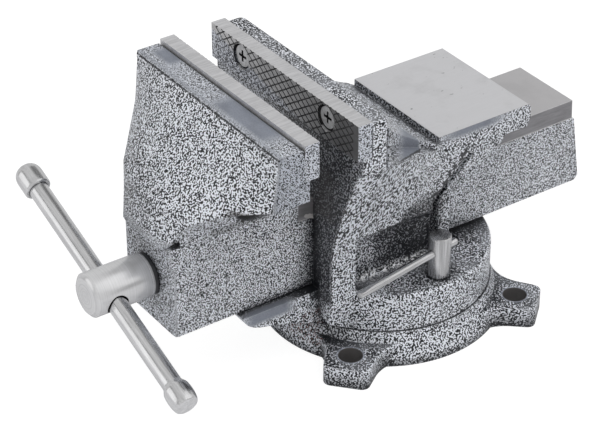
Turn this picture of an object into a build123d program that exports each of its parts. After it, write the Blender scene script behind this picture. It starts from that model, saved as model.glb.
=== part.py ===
from build123d import *
import os
from math import cos, hypot, radians, sin

# Swivel bench vise with anvil, for jaws 100 mm wide. Millimetres, +Z up.
# Origin: on the bench surface, on the swivel axis. The jaws open towards -Y, the handle is at -Y.

os.makedirs("parts", exist_ok=True)

# Clearances, and the small edge that turned parts carry
RUN = 0.05
LOOSE = 0.3
SEAT = 0.2
FINE_EDGE = 0.5

# Jaws and plates
JAW_WIDTH = 100.0
JAW_TOP = 123.5
REAR_GRIP_Y = -49.4
JAW_GAP = 17.7
PLATE_THICK = 6.4
PLATE_HEIGHT = 15.4
PLATE_SCREW_X = 29.0
PLATE_SCREW_DROP = 6.2
SCREW_HEAD_R = 5.5
SCREW_SHANK_R = 3.0
SCREW_LENGTH = 13.0
SCREW_SINK = 0.3
SCREW_RIM = 0.6
CROSS_WIDTH = 0.9
CROSS_SPAN = 5.4
CROSS_DEPTH = 2.5
HALF_JAW = JAW_WIDTH / 2
PLATE_FOOT = JAW_TOP - PLATE_HEIGHT
PLATE_SCREW_Z = JAW_TOP - PLATE_SCREW_DROP

# Anvil
ANVIL_HALF = 28.5
ANVIL_FRONT_Y = 6.2
ANVIL_BACK_Y = 52.1
ANVIL_TOP = 89.4
ANVIL_THICK = 10.4
ANVIL_RIM = 4.9
ANVIL_TAIL = 1.4
ANVIL_FOOT = ANVIL_TOP - ANVIL_THICK

# Fixed jaw casting
FIXED_FRONT_Y = -47.0
FIXED_BACK_Y = -34.4
FIXED_TOP = JAW_TOP - 1.2
FIXED_CORNER = 3.0
FIXED_EDGE = 1.6
WING_FOOT = FIXED_TOP - 21.8
NECK_TOP = FIXED_TOP - 3.8
NECK_FOOT = ANVIL_TOP - 4.4
NECK_END_Y = 8.0
NECK_SAG = 4.0
PILLAR_HALF = 29.5
PILLAR_BACK_Y = FIXED_BACK_Y - 0.1
POCKET_HALF = 22.0
POCKET_TOP = 57.5
POCKET_WALL_TOP = 46.0
POCKET_END_Y = 8.6
POCKET_CORNER = 3.0
POCKET_COVE = 3.4
POCKET_RISE = 1.2
REAR_WALL_HALF = 24.3
REAR_WALL_Y = 16.5
REAR_EDGE_Z = 57.0
REAR_EDGE_Y = 41.5
CHEEK_FOOT = 51.0
CREVICE_WIDTH = 3.2
CREVICE_DEPTH = 3.6
SCOOP_R = 29.1
SCOOP_X = 58.0
SCOOP_Y = -6.0

# Slide of the moving jaw
SLIDE_HALF = 17.2
SLIDE_TOP = 74.4
SLIDE_FOOT = 34.0
SLIDE_FRONT_Y = -112.6
SLIDE_LENGTH = 198.9
SLIDE_RAKE = 5.6
SLIDE_BACK_Y = SLIDE_FRONT_Y + SLIDE_LENGTH
SLIDE_BACK_FOOT_Y = SLIDE_BACK_Y + SLIDE_RAKE
SLIDE_BAND = 8.4
SLIDE_SKIN = 0.5
SLIDE_WALL = 4.5
SLIDE_ROOF = 7.0
SLIDE_NOSE_WALL = 8.0
SLIDE_CORNER = 2.4
SLIDE_EDGE = 0.9
SLIDE_CAVITY_HALF = SLIDE_HALF - SLIDE_WALL
SLIDE_CAVITY_TOP = SLIDE_TOP - SLIDE_ROOF

# Moving jaw head
MOVING_FACE_Y = -71.3
MOVING_FRONT_Y = -84.0
DECK_DROP = 1.8
DECK_TOP = JAW_TOP - DECK_DROP
DECK_LIP_HEIGHT = 2.4
DECK_LIP_REACH = 1.0
DECK_LIP_EDGE = 0.9
NOSE_Y = SLIDE_FRONT_Y - 2.4
NOSE_SIDE_Y = -88.0
NOSE_FOOT = SLIDE_TOP - 0.4
NOSE_ROOT = SLIDE_TOP + 5.1
NOSE_ROOT_HALF = SLIDE_HALF + 0.8
NOSE_FOOT_HALF = SLIDE_HALF - 2.7
NOSE_LIP_REACH = 1.3
NOSE_LIP_HEIGHT = 4.0
BROW_Y = NOSE_Y + 3.0
BROW_SIDE_Y = NOSE_SIDE_Y + 1.0
BROW_Z = 90.0
MOVING_WING_FOOT = DECK_TOP - 22.7
SADDLE_HEIGHT = 9.6
COVE_R = 12.0
COVE_Y = MOVING_FACE_Y - 2.2
WEB_HALF = 9.0
PLATE_RELIEF = 0.7
PLATE_RELIEF_HEIGHT = 3.2

# Ledge under the slide, part of the fixed jaw casting
LEDGE_HALF = 22.0
LEDGE_TOP = SLIDE_FOOT - 0.5
LEDGE_TIP_Y = -83.5
LEDGE_FOOT = 14.6
APRON_TOP = 20.5
APRON_BACK_Y = -30.0

# Swivel disc and base
DISC_R = 46.0
DISC_TOP = 30.9
BASE_TOP = 13.6
BASE_R_TOP = 46.6
BASE_R_FOOT = 51.6
DISC_FOOT = BASE_TOP + SEAT
DISC_EDGE = 1.6
BOSS_R = 12.0
BOSS_FOOT = 6.8
HUB_FOOT = 7.0
HUB_RECESS_R = 19.0
PIVOT_R = 5.0
PIVOT_DEPTH = 14.0
PIVOT_HEAD = 16.0
PIVOT_HEAD_HEIGHT = 3.6
PIVOT_WASHER_R = 16.0
PIVOT_WASHER_THICK = 2.4
LUG_RADIUS = 57.5
LUG_COUNT = 4
LUG_TURN = -3.3
LUG_THICK = 9.0
LUG_TIP = 67.5
LUG_TIP_HALF = 9.2
LUG_ROOT = 44.0
LUG_ROOT_HALF = 21.0
LUG_WAIST = 58.0
LUG_WAIST_HALF = 10.4
LUG_CORNER = 3.5
LUG_EDGE = 1.0
LUG_HOLE_R = 5.0

# Clamp groove in the base, for the two lock bolts
LOCK_X = 37.6
LOCK_Y = 1.4
LOCK_RADIUS = hypot(LOCK_X, LOCK_Y)
LOCK_SHANK_R = 3.0
GROOVE_SLOT_HALF = 3.6
GROOVE_HALF = 6.6
GROOVE_FOOT = 3.4
GROOVE_LIP_FOOT = 8.4
CLAMP_NUT_SIZE = 12.0
CLAMP_NUT_THICK = 4.4
CLAMP_NUT_CORNER = 2.4
LOADING_HOLE_R = 9.4

# Lock bolts and their rods
LOCK_HEAD_R = 4.7
LOCK_HEAD_HEIGHT = 19.0
LOCK_ROD_R = 1.75
LOCK_ROD_EDGE = 0.9
LOCK_ROD_HEIGHT = 11.6
LOCK_ROD_FRONT = 46.1
LOCK_ROD_BACK = 9.6
LOCK_ROD_TURN = -80.7

# Spindle, its nut and what holds it in the slide
SPINDLE_Z = 55.0
SPINDLE_R = 7.0
SPINDLE_END_Y = SLIDE_BACK_Y - 10.3
HEAD_R = 9.1
HEAD_LENGTH = 26.4
HEAD_EDGE = 1.4
WASHER_THICK = 1.7
HEAD_BACK_Y = SLIDE_FRONT_Y - LOOSE - WASHER_THICK
HEAD_FRONT_Y = HEAD_BACK_Y - HEAD_LENGTH
NUT_FRONT_Y = -36.0
NUT_LENGTH = 24.0
NUT_HALF = 11.4
NUT_TOP = 66.5
NUT_EDGE = 4.0
NUT_BOLT_R = 4.0
NUT_BOLT_DEPTH = 11.5
NUT_BOLT_HEAD = 13.0
NUT_BOLT_HEAD_HEIGHT = 5.3
NUT_BOLT_SINK = 6.2
NUT_BOLT_WELL_R = 8.6
NUT_MID_Y = NUT_FRONT_Y + NUT_LENGTH / 2
NUT_BOLT_SEAT = DISC_FOOT + NUT_BOLT_SINK
SPRING_LENGTH = 12.0
SPRING_WIRE_R = 0.8
SPRING_R = 9.1
SPRING_COILS = 4
RETAINER_THICK = 1.5
RETAINER_R = 11.0
SPLIT_PIN_R = 1.5
SPLIT_PIN_LENGTH = 22.0

# Handle bar through the spindle head
BAR_R = 4.0
BAR_Y = HEAD_FRONT_Y + 9.5
BAR_TILT = 20.2
BAR_LEFT = -65.5
BAR_RIGHT = 61.5
CAP_R = 5.6
CAP_LENGTH = 11.5
CAP_WALL = 2.0
BULB_R = 5.8
BULB_LENGTH = 10.0
BULB_FLARE = 5.0


def save(shape, node):
    """Write one node as a STEP file."""
    export_step(shape, f"parts/{node}.step")


def block(x0, x1, y0, y1, z0, z1):
    """A box between two corners."""
    size = Box(x1 - x0, y1 - y0, z1 - z0)
    return Pos((x0 + x1) / 2, (y0 + y1) / 2, (z0 + z1) / 2) * size


def front_prism(face, y0, y1):
    """Extrude a face drawn in X and Z from y0 to y1."""
    return Pos(0, y0, 0) * extrude(Plane.XZ * face, y1 - y0, dir=(0, 1, 0))


def side_prism(face, half):
    """Extrude a face drawn in Y and Z over a width that is the same on both sides."""
    return extrude(Plane.YZ * face, half, both=True)


def y_cylinder(radius, y0, y1, x=0.0, z=0.0):
    """A cylinder along Y between y0 and y1."""
    return Pos(x, (y0 + y1) / 2, z) * Rot(90, 0, 0) * Cylinder(radius, y1 - y0)


def z_cylinder(radius, z0, z1, x=0.0, y=0.0):
    """A cylinder along Z between z0 and z1."""
    return Pos(x, y, (z0 + z1) / 2) * Cylinder(radius, z1 - z0)


def mirrored(points):
    """Close a right-hand outline, given from top to bottom, with its mirror image."""
    left = [(-x, z) for x, z in reversed(points) if x > 0]
    return make_face(Polyline(*points, *left, close=True))


def on_circle(radius, angle):
    """A point on a circle about the swivel axis."""
    return radius * cos(radians(angle)), radius * sin(radians(angle))


def cheek(outer, top, inner, foot, shape):
    """Points of a hollow-cheeked side, from its outer top to its inner foot, by shares of both ways."""
    return [(inner + across * (outer - inner), foot + up * (top - foot)) for across, up in shape]


# Right-hand sides of the castings: the fixed jaw's wing, the wall under the anvil, the moving jaw's wing
FRONT_SHAPE = [(1, 1), (0.83, 0.96), (0.67, 0.81), (0.415, 0.576), (0.195, 0.333), (0.044, 0.141), (0, 0)]
BACK_SHAPE = [(1, 1), (1, 0.97), (1, 0.925), (0.86, 0.746), (0.5, 0.507), (0.12, 0.239), (0, 0)]
WING_SHAPE = [(1, 1), (0.69, 0.846), (0.375, 0.615), (0.11, 0.282), (0, 0)]
FRONT_CHEEK = cheek(HALF_JAW, WING_FOOT, PILLAR_HALF, CHEEK_FOOT, FRONT_SHAPE)
BACK_CHEEK = cheek(ANVIL_HALF, ANVIL_TOP - ANVIL_RIM, REAR_WALL_HALF, CHEEK_FOOT, BACK_SHAPE)


def cheek_face(points, top, foot):
    """The full outline of the body between a top height and a foot height, with a cheek on each side."""
    return mirrored([(points[0][0], top), *points, (points[-1][0], foot)])


def slide_outline(grow):
    """Section of the slide: machined band on top, cast sides below, grown by a clearance."""
    band_foot = SLIDE_TOP - SLIDE_BAND - grow
    cast_half = SLIDE_HALF + SLIDE_SKIN + grow
    top = SLIDE_TOP + grow
    band = [(SLIDE_HALF + grow, top), (SLIDE_HALF + grow, band_foot)]
    return mirrored([*band, (cast_half, band_foot - SLIDE_SKIN), (cast_half, SLIDE_FOOT - grow)])


def jaw_block():
    """Wing, cheeks and pillar of the fixed jaw, as one thick slab across the body."""
    slab = front_prism(cheek_face(FRONT_CHEEK, FIXED_TOP, APRON_TOP + 1), FIXED_FRONT_Y, FIXED_BACK_Y)
    uprights = slab.edges().filter_by(Axis.Z).group_by(Axis.Y)[-1]
    slab = fillet(uprights.filter_by(lambda e: abs(e.center().X) > HALF_JAW - 1), FIXED_CORNER)
    rim = slab.faces().sort_by(Axis.Z)[-1].edges()
    slab = fillet(rim.filter_by(lambda e: e.center().Y > FIXED_FRONT_Y + 1), FIXED_EDGE)
    seat_y = REAR_GRIP_Y + PLATE_THICK
    return slab - block(-HALF_JAW - 1, HALF_JAW + 1, FIXED_FRONT_Y - 1, seat_y, PLATE_FOOT, JAW_TOP + 1)


def neck():
    """The body between jaw and anvil: tapers in plan and slopes down to the anvil."""
    wide = Pos(0, FIXED_BACK_Y - 0.5, 0) * (Plane.XZ * cheek_face(FRONT_CHEEK, NECK_TOP, DISC_TOP - 1))
    narrow = Pos(0, NECK_END_Y, 0) * (Plane.XZ * cheek_face(BACK_CHEEK, NECK_FOOT, DISC_TOP - 1))
    body = loft([narrow, wide], ruled=True)
    start, end = FIXED_BACK_Y - 1, NECK_END_Y + 1
    low_point = ((start + end) / 2, (NECK_TOP + NECK_FOOT) / 2 - NECK_SAG)
    saddle = Spline((start, NECK_TOP), low_point, (end, NECK_FOOT))
    above = Polyline((end, NECK_FOOT), (end, JAW_TOP), (start, JAW_TOP), (start, NECK_TOP))
    return body - side_prism(make_face([saddle, above]), HALF_JAW + 1)


def scoops():
    """Concave hollows behind the wings, above a slope that falls towards the anvil."""
    end_y, top = NECK_END_Y + 4, JAW_TOP + 5
    slope = [(FIXED_BACK_Y, WING_FOOT), (end_y, ANVIL_FOOT + 3)]
    above = make_face(Polyline(*slope, (end_y, top), (FIXED_BACK_Y, top), close=True))
    right = z_cylinder(SCOOP_R, SLIDE_TOP, top, SCOOP_X, SCOOP_Y) & side_prism(above, SCOOP_X + SCOOP_R)
    return right + mirror(right, Plane.YZ)


def rear_block():
    """The body behind the neck, up to the slanted rear edge, and the anvil on top of it."""
    wall = front_prism(cheek_face(BACK_CHEEK, ANVIL_TOP, DISC_TOP - 1), NECK_END_Y - 0.5, REAR_EDGE_Y + 0.5)
    start, end = (REAR_WALL_Y, REAR_EDGE_Z), (REAR_EDGE_Y, ANVIL_FOOT + 1)
    edge = Spline(start, (22.0, 66.0), (35.0, 71.5), end, tangents=[(0, 1), (0.5, 1)])
    line = Polyline(end, (0.0, ANVIL_FOOT + 1), (0.0, DISC_TOP - 1), (REAR_WALL_Y, DISC_TOP - 1), start)
    wall = wall & side_prism(make_face([edge, line]), HALF_JAW)
    top = block(-ANVIL_HALF, ANVIL_HALF, ANVIL_FRONT_Y, ANVIL_BACK_Y, ANVIL_FOOT, ANVIL_TOP)
    inner_y, outer_y = ANVIL_BACK_Y - 6, ANVIL_BACK_Y + ANVIL_TAIL
    tail = [(inner_y, ANVIL_TOP), (ANVIL_BACK_Y, ANVIL_TOP), (outer_y, ANVIL_TOP - 1.8)]
    tail += [(outer_y, ANVIL_FOOT + 3.4), (ANVIL_BACK_Y - 1, ANVIL_FOOT), (inner_y, ANVIL_FOOT)]
    return wall + top + side_prism(make_face(Polyline(*tail, close=True)), ANVIL_HALF)


def crevices():
    """The sharp groove on each side that sets off the rear rib of the body."""
    line = [(7.9, DISC_TOP), (7.4, REAR_EDGE_Z - 1), (14.6, REAR_EDGE_Z + 8.8), (22.4, ANVIL_FOOT - 3)]
    path = [*line, *[(y + CREVICE_WIDTH, z - 0.6) for y, z in reversed(line)]]
    strip = make_face(Polyline(*path, close=True))
    right = Pos(REAR_WALL_HALF - CREVICE_DEPTH, 0, 0) * extrude(Plane.YZ * strip, HALF_JAW)
    return right + mirror(right, Plane.YZ)


def pockets():
    """Hollow in each side of the body, between the front pillar and the rear rib, coved at top and foot."""
    wall_top, mouth = (POCKET_HALF, POCKET_WALL_TOP), (PILLAR_HALF + POCKET_RISE, POCKET_TOP)
    wall_foot, floor = (POCKET_HALF, DISC_TOP + POCKET_COVE), (POCKET_HALF + POCKET_COVE, DISC_TOP)
    cove = Spline(wall_top, mouth, tangents=[(0, 1), (1, 0.9)])
    rest = Polyline(mouth, (HALF_JAW, POCKET_TOP), (HALF_JAW, DISC_TOP), floor)
    foot = TangentArc(wall_foot, floor, tangent=(0, -1))
    right = front_prism(make_face([cove, rest, foot, Line(wall_foot, wall_top)]), PILLAR_BACK_Y, POCKET_END_Y)
    upright = right.faces().filter_by(Axis.X).sort_by(Axis.X)[0].edges().filter_by(Axis.Z)
    right = fillet(upright, POCKET_CORNER)
    return right + mirror(right, Plane.YZ)


def ledge():
    """The tongue that reaches forwards under the slide, and the floor behind it."""
    start, end = (LEDGE_TIP_Y, LEDGE_TOP), (FIXED_FRONT_Y + 3, LEDGE_FOOT)
    under = Spline(start, (-80.5, 29.0), (-70.0, 25.2), (-56.0, 20.6), end)
    rest = Polyline(end, (REAR_WALL_Y, LEDGE_FOOT), (REAR_WALL_Y, LEDGE_TOP), start)
    tongue = side_prism(make_face([under, rest]), LEDGE_HALF)
    foot_z = DISC_FOOT + 0.4
    foot = Polyline((FIXED_FRONT_Y, DISC_TOP), (FIXED_FRONT_Y, APRON_TOP), (APRON_BACK_Y - 6, foot_z),
                    (APRON_BACK_Y, foot_z), (APRON_BACK_Y, DISC_TOP), close=True)
    apron = side_prism(make_face(foot), PILLAR_HALF)
    return tongue + apron


def disc():
    """The round swivel foot of the body with its centre boss."""
    plate = z_cylinder(DISC_R, DISC_FOOT, DISC_TOP)
    plate = fillet(plate.edges().group_by(Axis.Z)[-1], DISC_EDGE)
    return plate + z_cylinder(BOSS_R, BOSS_FOOT, DISC_FOOT)


def fixed_jaw():
    """The whole body casting, bored for screws, bolts and pivot."""
    body = jaw_block() + (neck() - scoops()) + rear_block()
    body = body - pockets() - crevices()
    body = body + ledge() + disc()
    body -= front_prism(slide_outline(LOOSE), LEDGE_TIP_Y - 2, ANVIL_BACK_Y + 10)
    tunnel_half = SLIDE_HALF + SLIDE_SKIN + LOOSE
    body -= block(-tunnel_half, tunnel_half, LEDGE_TIP_Y - 2, ANVIL_BACK_Y + 10, LEDGE_TOP, SLIDE_FOOT + 1)
    for side in (-1, 1):
        body -= plate_screw_hole(side * PLATE_SCREW_X, REAR_GRIP_Y, 1)
        body -= z_cylinder(LOCK_SHANK_R + LOOSE, DISC_FOOT - 1, DISC_TOP + 1, side * LOCK_X, LOCK_Y)
    body -= z_cylinder(NUT_BOLT_R + LOOSE, DISC_FOOT - 1, LEDGE_TOP + 1, 0, NUT_MID_Y)
    body -= z_cylinder(NUT_BOLT_WELL_R, DISC_FOOT - 1, NUT_BOLT_SEAT, 0, NUT_MID_Y)
    body -= z_cylinder(PIVOT_R + RUN, BOSS_FOOT - 1, BOSS_FOOT + PIVOT_DEPTH + 2)
    return body


def plate_screw_hole(x, grip_y, inward):
    """Hole for a plate screw in a casting, from the grip face towards the casting."""
    near = grip_y + inward * PLATE_THICK
    far = grip_y + inward * (SCREW_LENGTH + 0.8)
    return y_cylinder(SCREW_SHANK_R + RUN, min(near, far) - 0.01, max(near, far) + 0.01, x, PLATE_SCREW_Z)


def jaw_plate(grip_y, inward):
    """A hardened jaw plate with two countersunk holes."""
    y0, y1 = sorted((grip_y, grip_y + inward * PLATE_THICK))
    plate = block(-HALF_JAW, HALF_JAW, y0, y1, PLATE_FOOT, JAW_TOP)
    for x in (-PLATE_SCREW_X, PLATE_SCREW_X):
        plate -= at_plate(countersunk(-1.0, RUN), x, grip_y, inward)
    return plate


def countersunk(start, grow):
    """A countersunk shape along +Y: rim and cone of the head from a start depth, then the shank."""
    big = SCREW_HEAD_R + grow
    small = SCREW_SHANK_R + grow
    cone = SCREW_SINK + SCREW_RIM
    profile = Polyline((0, start), (big, start), (big, cone), (small, cone + SCREW_HEAD_R - SCREW_SHANK_R),
                       (small, SCREW_LENGTH), (0, SCREW_LENGTH), close=True)
    return revolve(make_face(profile), Axis.Y)


def at_plate(shape, x, grip_y, inward):
    """Put a screw shape at its place in a plate, pointing into that plate's casting."""
    turned = shape if inward > 0 else mirror(shape, Plane.XZ)
    return Pos(x, grip_y, PLATE_SCREW_Z) * turned


def plate_screw(x, grip_y, inward):
    """A countersunk screw with a cross recess, its head a little below the grip face."""
    cross = Box(CROSS_WIDTH, 2 * CROSS_DEPTH, CROSS_SPAN) + Box(CROSS_SPAN, 2 * CROSS_DEPTH, CROSS_WIDTH)
    screw = countersunk(SCREW_SINK, 0.0) - Pos(0, SCREW_SINK, 0) * cross
    return at_plate(screw, x, grip_y, inward)


def nose_profile():
    """Front view of the moving jaw head, from its deck to the nose over the spindle."""
    shoulder, wing = (HALF_JAW, DECK_TOP + 1), (HALF_JAW, MOVING_WING_FOOT)
    root, foot = (NOSE_ROOT_HALF, NOSE_ROOT), (NOSE_FOOT_HALF, NOSE_FOOT)
    under = Spline(*cheek(*wing, *root, WING_SHAPE))
    right = [Line(shoulder, wing), under, Line(root, foot), Line(foot, (0, NOSE_FOOT))]
    left = [mirror(edge, Plane.YZ) for edge in right]
    return make_face([*right, *left, Line((-HALF_JAW, DECK_TOP + 1), shoulder)])


def head_section(front_y, side_y):
    """A level section of the head: straight back, sides, and an arc in front."""
    left, right = (-HALF_JAW, side_y), (HALF_JAW, side_y)
    back = Polyline(right, (HALF_JAW, MOVING_FACE_Y), (-HALF_JAW, MOVING_FACE_Y), left)
    return make_face([ThreePointArc(left, (0, front_y), right), back])


def moving_head():
    """The fan-shaped head: a straight deck on top, a rounded nose at the foot."""
    deck = Polyline((-HALF_JAW, MOVING_FACE_Y), (-HALF_JAW, MOVING_FRONT_Y), (HALF_JAW, MOVING_FRONT_Y),
                    (HALF_JAW, MOVING_FACE_Y), close=True)
    high = Pos(0, 0, DECK_TOP) * make_face(deck)
    brow = Pos(0, 0, BROW_Z) * head_section(BROW_Y, BROW_SIDE_Y)
    mid = Pos(0, 0, NOSE_FOOT + NOSE_LIP_HEIGHT) * head_section(NOSE_Y, NOSE_SIDE_Y)
    low = Pos(0, 0, NOSE_FOOT) * head_section(NOSE_Y - NOSE_LIP_REACH, NOSE_SIDE_Y)
    fan = loft([low, mid, brow, high], ruled=True)
    head = fan & front_prism(nose_profile(), NOSE_Y - 5, MOVING_FACE_Y + 5)
    lip_y, lip_z = MOVING_FRONT_Y - DECK_LIP_REACH, DECK_TOP - DECK_LIP_HEIGHT
    lip = block(-HALF_JAW, HALF_JAW, lip_y, MOVING_FACE_Y, lip_z, DECK_TOP)
    front = lip.faces().sort_by(Axis.Y)[0].edges()
    return head + chamfer(front.filter_by(lambda e: e.center().Z > lip_z + 0.1), DECK_LIP_EDGE)


def plate_seat():
    """What is cut from the moving jaw for its plate, with the narrow opening left in front of the plate."""
    back = REAR_GRIP_Y - JAW_GAP - PLATE_THICK
    seat = block(-HALF_JAW - 1, HALF_JAW + 1, back, MOVING_FACE_Y + 1, PLATE_FOOT, JAW_TOP)
    foot, mid, top = DECK_TOP - PLATE_RELIEF_HEIGHT, DECK_TOP - 1.2, DECK_TOP + 1
    near, far = back + 0.1, back - PLATE_RELIEF
    wedge = Polyline((near, foot), (back, foot), (far, mid), (far, top), (near, top), close=True)
    return seat + side_prism(make_face(wedge), HALF_JAW + 1)


def coves():
    """Rounded hollows under the wings, at the back of the head, with a web left between them."""
    top = SLIDE_TOP + 2 * COVE_R
    round_part = Pos(0, COVE_Y, SLIDE_TOP + COVE_R) * Rot(0, 90, 0) * Cylinder(COVE_R, JAW_WIDTH + 2)
    behind = block(-HALF_JAW - 1, HALF_JAW + 1, COVE_Y, MOVING_FACE_Y + 1, SLIDE_TOP, top)
    web = block(-WEB_HALF, WEB_HALF, COVE_Y - COVE_R, MOVING_FACE_Y + 1, SLIDE_TOP, top)
    return round_part + behind - web


def slide_bar():
    """The slide: an upside-down channel with a closed front end."""
    step_z = SLIDE_TOP - SLIDE_BAND
    back = [(SLIDE_BACK_Y, SLIDE_TOP), (SLIDE_BACK_Y + 0.4, step_z), (SLIDE_BACK_Y + 1.2, step_z - 0.6),
            (SLIDE_BACK_FOOT_Y, SLIDE_FOOT + 2), (SLIDE_BACK_FOOT_Y - 2, SLIDE_FOOT)]
    front = [(SLIDE_FRONT_Y + SLIDE_EDGE, SLIDE_FOOT), (SLIDE_FRONT_Y, SLIDE_FOOT + SLIDE_EDGE)]
    outline = Polyline((SLIDE_FRONT_Y, SLIDE_TOP), *back, *front, close=True)
    bar = front_prism(slide_outline(0.0), SLIDE_FRONT_Y - 1, SLIDE_BACK_FOOT_Y + 1)
    bar = bar & side_prism(make_face(outline), HALF_JAW)
    front_face = bar.faces().filter_by(Axis.Y).sort_by(Axis.Y)[0]
    bar = fillet(front_face.edges().filter_by(Axis.Z).filter_by(lambda e: e.length > 10), SLIDE_CORNER)
    half, wall_y = SLIDE_CAVITY_HALF, SLIDE_FRONT_Y + SLIDE_NOSE_WALL
    return bar - block(-half, half, wall_y, SLIDE_BACK_FOOT_Y + 2, SLIDE_FOOT - 1, SLIDE_CAVITY_TOP)


def moving_jaw():
    """Head and slide in one casting, bored for the spindle and the plate screws."""
    jaw = moving_head() + slide_bar()
    saddle_top = SLIDE_TOP + SADDLE_HEIGHT
    jaw += block(-SLIDE_HALF, SLIDE_HALF, SLIDE_FRONT_Y + 4, MOVING_FACE_Y, SLIDE_TOP - 5, saddle_top)
    jaw -= plate_seat()
    jaw -= coves()
    jaw -= y_cylinder(SPINDLE_R + RUN, SLIDE_FRONT_Y - 1, SLIDE_FRONT_Y + SLIDE_NOSE_WALL + 1, 0, SPINDLE_Z)
    for x in (-PLATE_SCREW_X, PLATE_SCREW_X):
        jaw -= plate_screw_hole(x, REAR_GRIP_Y - JAW_GAP, -1)
    return jaw


def lug(angle):
    """One bolt-down ear of the base, without its hole."""
    flare = Spline((LUG_ROOT, LUG_ROOT_HALF), (LUG_WAIST, LUG_WAIST_HALF), tangents=[(0.45, -1), (1, -0.12)])
    side = Line((LUG_WAIST, LUG_WAIST_HALF), (LUG_TIP, LUG_TIP_HALF))
    tip = Line((LUG_TIP, LUG_TIP_HALF), (LUG_TIP, -LUG_TIP_HALF))
    root = Line((LUG_ROOT, LUG_ROOT_HALF), (LUG_ROOT, -LUG_ROOT_HALF))
    ear = make_face([flare, side, tip, mirror(side, Plane.XZ), mirror(flare, Plane.XZ), root])
    solid = extrude(ear, LUG_THICK)
    tips = solid.edges().filter_by(Axis.Z).group_by(Axis.X)[-1]
    solid = fillet(tips, LUG_CORNER)
    rim = solid.faces().sort_by(Axis.Z)[-1].edges()
    solid = fillet(rim.filter_by(lambda e: e.center().X > LUG_ROOT + 0.1), LUG_EDGE)
    return Rot(0, 0, angle) * solid


def swivel_base():
    """The bolted base: sloping ring, four ears, clamp groove and centre hub."""
    slope = [(BASE_R_FOOT, 0), (BASE_R_FOOT - 0.4, 3), (BASE_R_TOP + 0.5, BASE_TOP - 2)]
    half = make_face(Polyline((0, 0), *slope, (BASE_R_TOP, BASE_TOP), (0, BASE_TOP), close=True))
    base = revolve(Plane.XZ * half, Axis.Z)
    for index in range(LUG_COUNT):
        base += lug(lug_angle(index))
    for index in range(LUG_COUNT):
        x, y = on_circle(LUG_RADIUS, lug_angle(index))
        base -= z_cylinder(LUG_HOLE_R, -1, LUG_THICK + 1, x, y)
    base -= ring_cut(LOCK_RADIUS, GROOVE_SLOT_HALF, GROOVE_LIP_FOOT - 1, BASE_TOP + 1)
    base -= ring_cut(LOCK_RADIUS, GROOVE_HALF, GROOVE_FOOT, GROOVE_LIP_FOOT)
    base -= z_cylinder(HUB_RECESS_R, -1, HUB_FOOT)
    base -= z_cylinder(BOSS_R + RUN, 0, BASE_TOP + 1)
    base -= z_cylinder(LOADING_HOLE_R, -1, GROOVE_FOOT + 1, 0, LOCK_RADIUS)
    return base


def lug_angle(index):
    """Direction of an ear: the base stands a little turned from the jaws."""
    return LUG_TURN + 45 + index * 360 / LUG_COUNT


def ring_cut(radius, half, z0, z1):
    """A ring-shaped channel about the swivel axis."""
    return z_cylinder(radius + half, z0, z1) - z_cylinder(radius - half, z0 - 1, z1 + 1)


def hexagon_head(width, z0, z1, x=0.0, y=0.0):
    """A hexagon head between two heights, given its width across flats."""
    return Pos(x, y, z0) * extrude(RegularPolygon(width / 2, 6, major_radius=False), z1 - z0)


def pivot_washer():
    """Large washer that holds the body down on the base hub."""
    washer = z_cylinder(PIVOT_WASHER_R, BOSS_FOOT - PIVOT_WASHER_THICK, BOSS_FOOT)
    return washer - z_cylinder(PIVOT_R + LOOSE, 0, BOSS_FOOT + 1)


def pivot_bolt():
    """Low-head bolt in the centre boss."""
    seat = BOSS_FOOT - PIVOT_WASHER_THICK
    head = hexagon_head(PIVOT_HEAD, seat - PIVOT_HEAD_HEIGHT, seat)
    return head + z_cylinder(PIVOT_R, seat, BOSS_FOOT + PIVOT_DEPTH)


def nut_block():
    """The spindle nut, standing on the floor of the body inside the slide."""
    back_y = NUT_FRONT_Y + NUT_LENGTH
    nut = block(-NUT_HALF, NUT_HALF, NUT_FRONT_Y, back_y, LEDGE_TOP, NUT_TOP)
    nut = chamfer(nut.edges().filter_by(Axis.Y).group_by(Axis.Z)[-1], NUT_EDGE)
    nut -= y_cylinder(SPINDLE_R + RUN, NUT_FRONT_Y - 1, back_y + 1, 0, SPINDLE_Z)
    return nut - z_cylinder(NUT_BOLT_R + RUN, LEDGE_TOP - 1, LEDGE_TOP + NUT_BOLT_DEPTH + 1, 0, NUT_MID_Y)


def nut_bolt():
    """The bolt that holds the spindle nut down, from under the disc."""
    head = hexagon_head(NUT_BOLT_HEAD, NUT_BOLT_SEAT - NUT_BOLT_HEAD_HEIGHT, NUT_BOLT_SEAT, 0, NUT_MID_Y)
    return head + z_cylinder(NUT_BOLT_R, NUT_BOLT_SEAT, LEDGE_TOP + NUT_BOLT_DEPTH, 0, NUT_MID_Y)


def bar_place():
    """Location that turns the X axis onto the handle bar's axis."""
    return Pos(0, BAR_Y, SPINDLE_Z) * Rot(0, BAR_TILT, 0)


def spindle():
    """Screw spindle with its drilled head; the thread stands at its outer size."""
    head = y_cylinder(HEAD_R, HEAD_FRONT_Y, HEAD_BACK_Y, 0, SPINDLE_Z)
    head = chamfer(head.edges().group_by(Axis.Y)[0], HEAD_EDGE)
    head = chamfer(head.edges().group_by(Axis.Y)[-1], FINE_EDGE)
    shaft = y_cylinder(SPINDLE_R, HEAD_BACK_Y - 1, SPINDLE_END_Y, 0, SPINDLE_Z)
    shaft = chamfer(shaft.edges().group_by(Axis.Y)[-1], HEAD_EDGE)
    hole = bar_place() * Rot(0, 90, 0) * Cylinder(BAR_R + LOOSE, 4 * HEAD_R)
    pin_hole = Rot(0, 90, 0) * Cylinder(SPLIT_PIN_R + RUN, 4 * SPINDLE_R)
    return head + shaft - hole - Pos(0, split_pin_y(), SPINDLE_Z) * pin_hole


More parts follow.
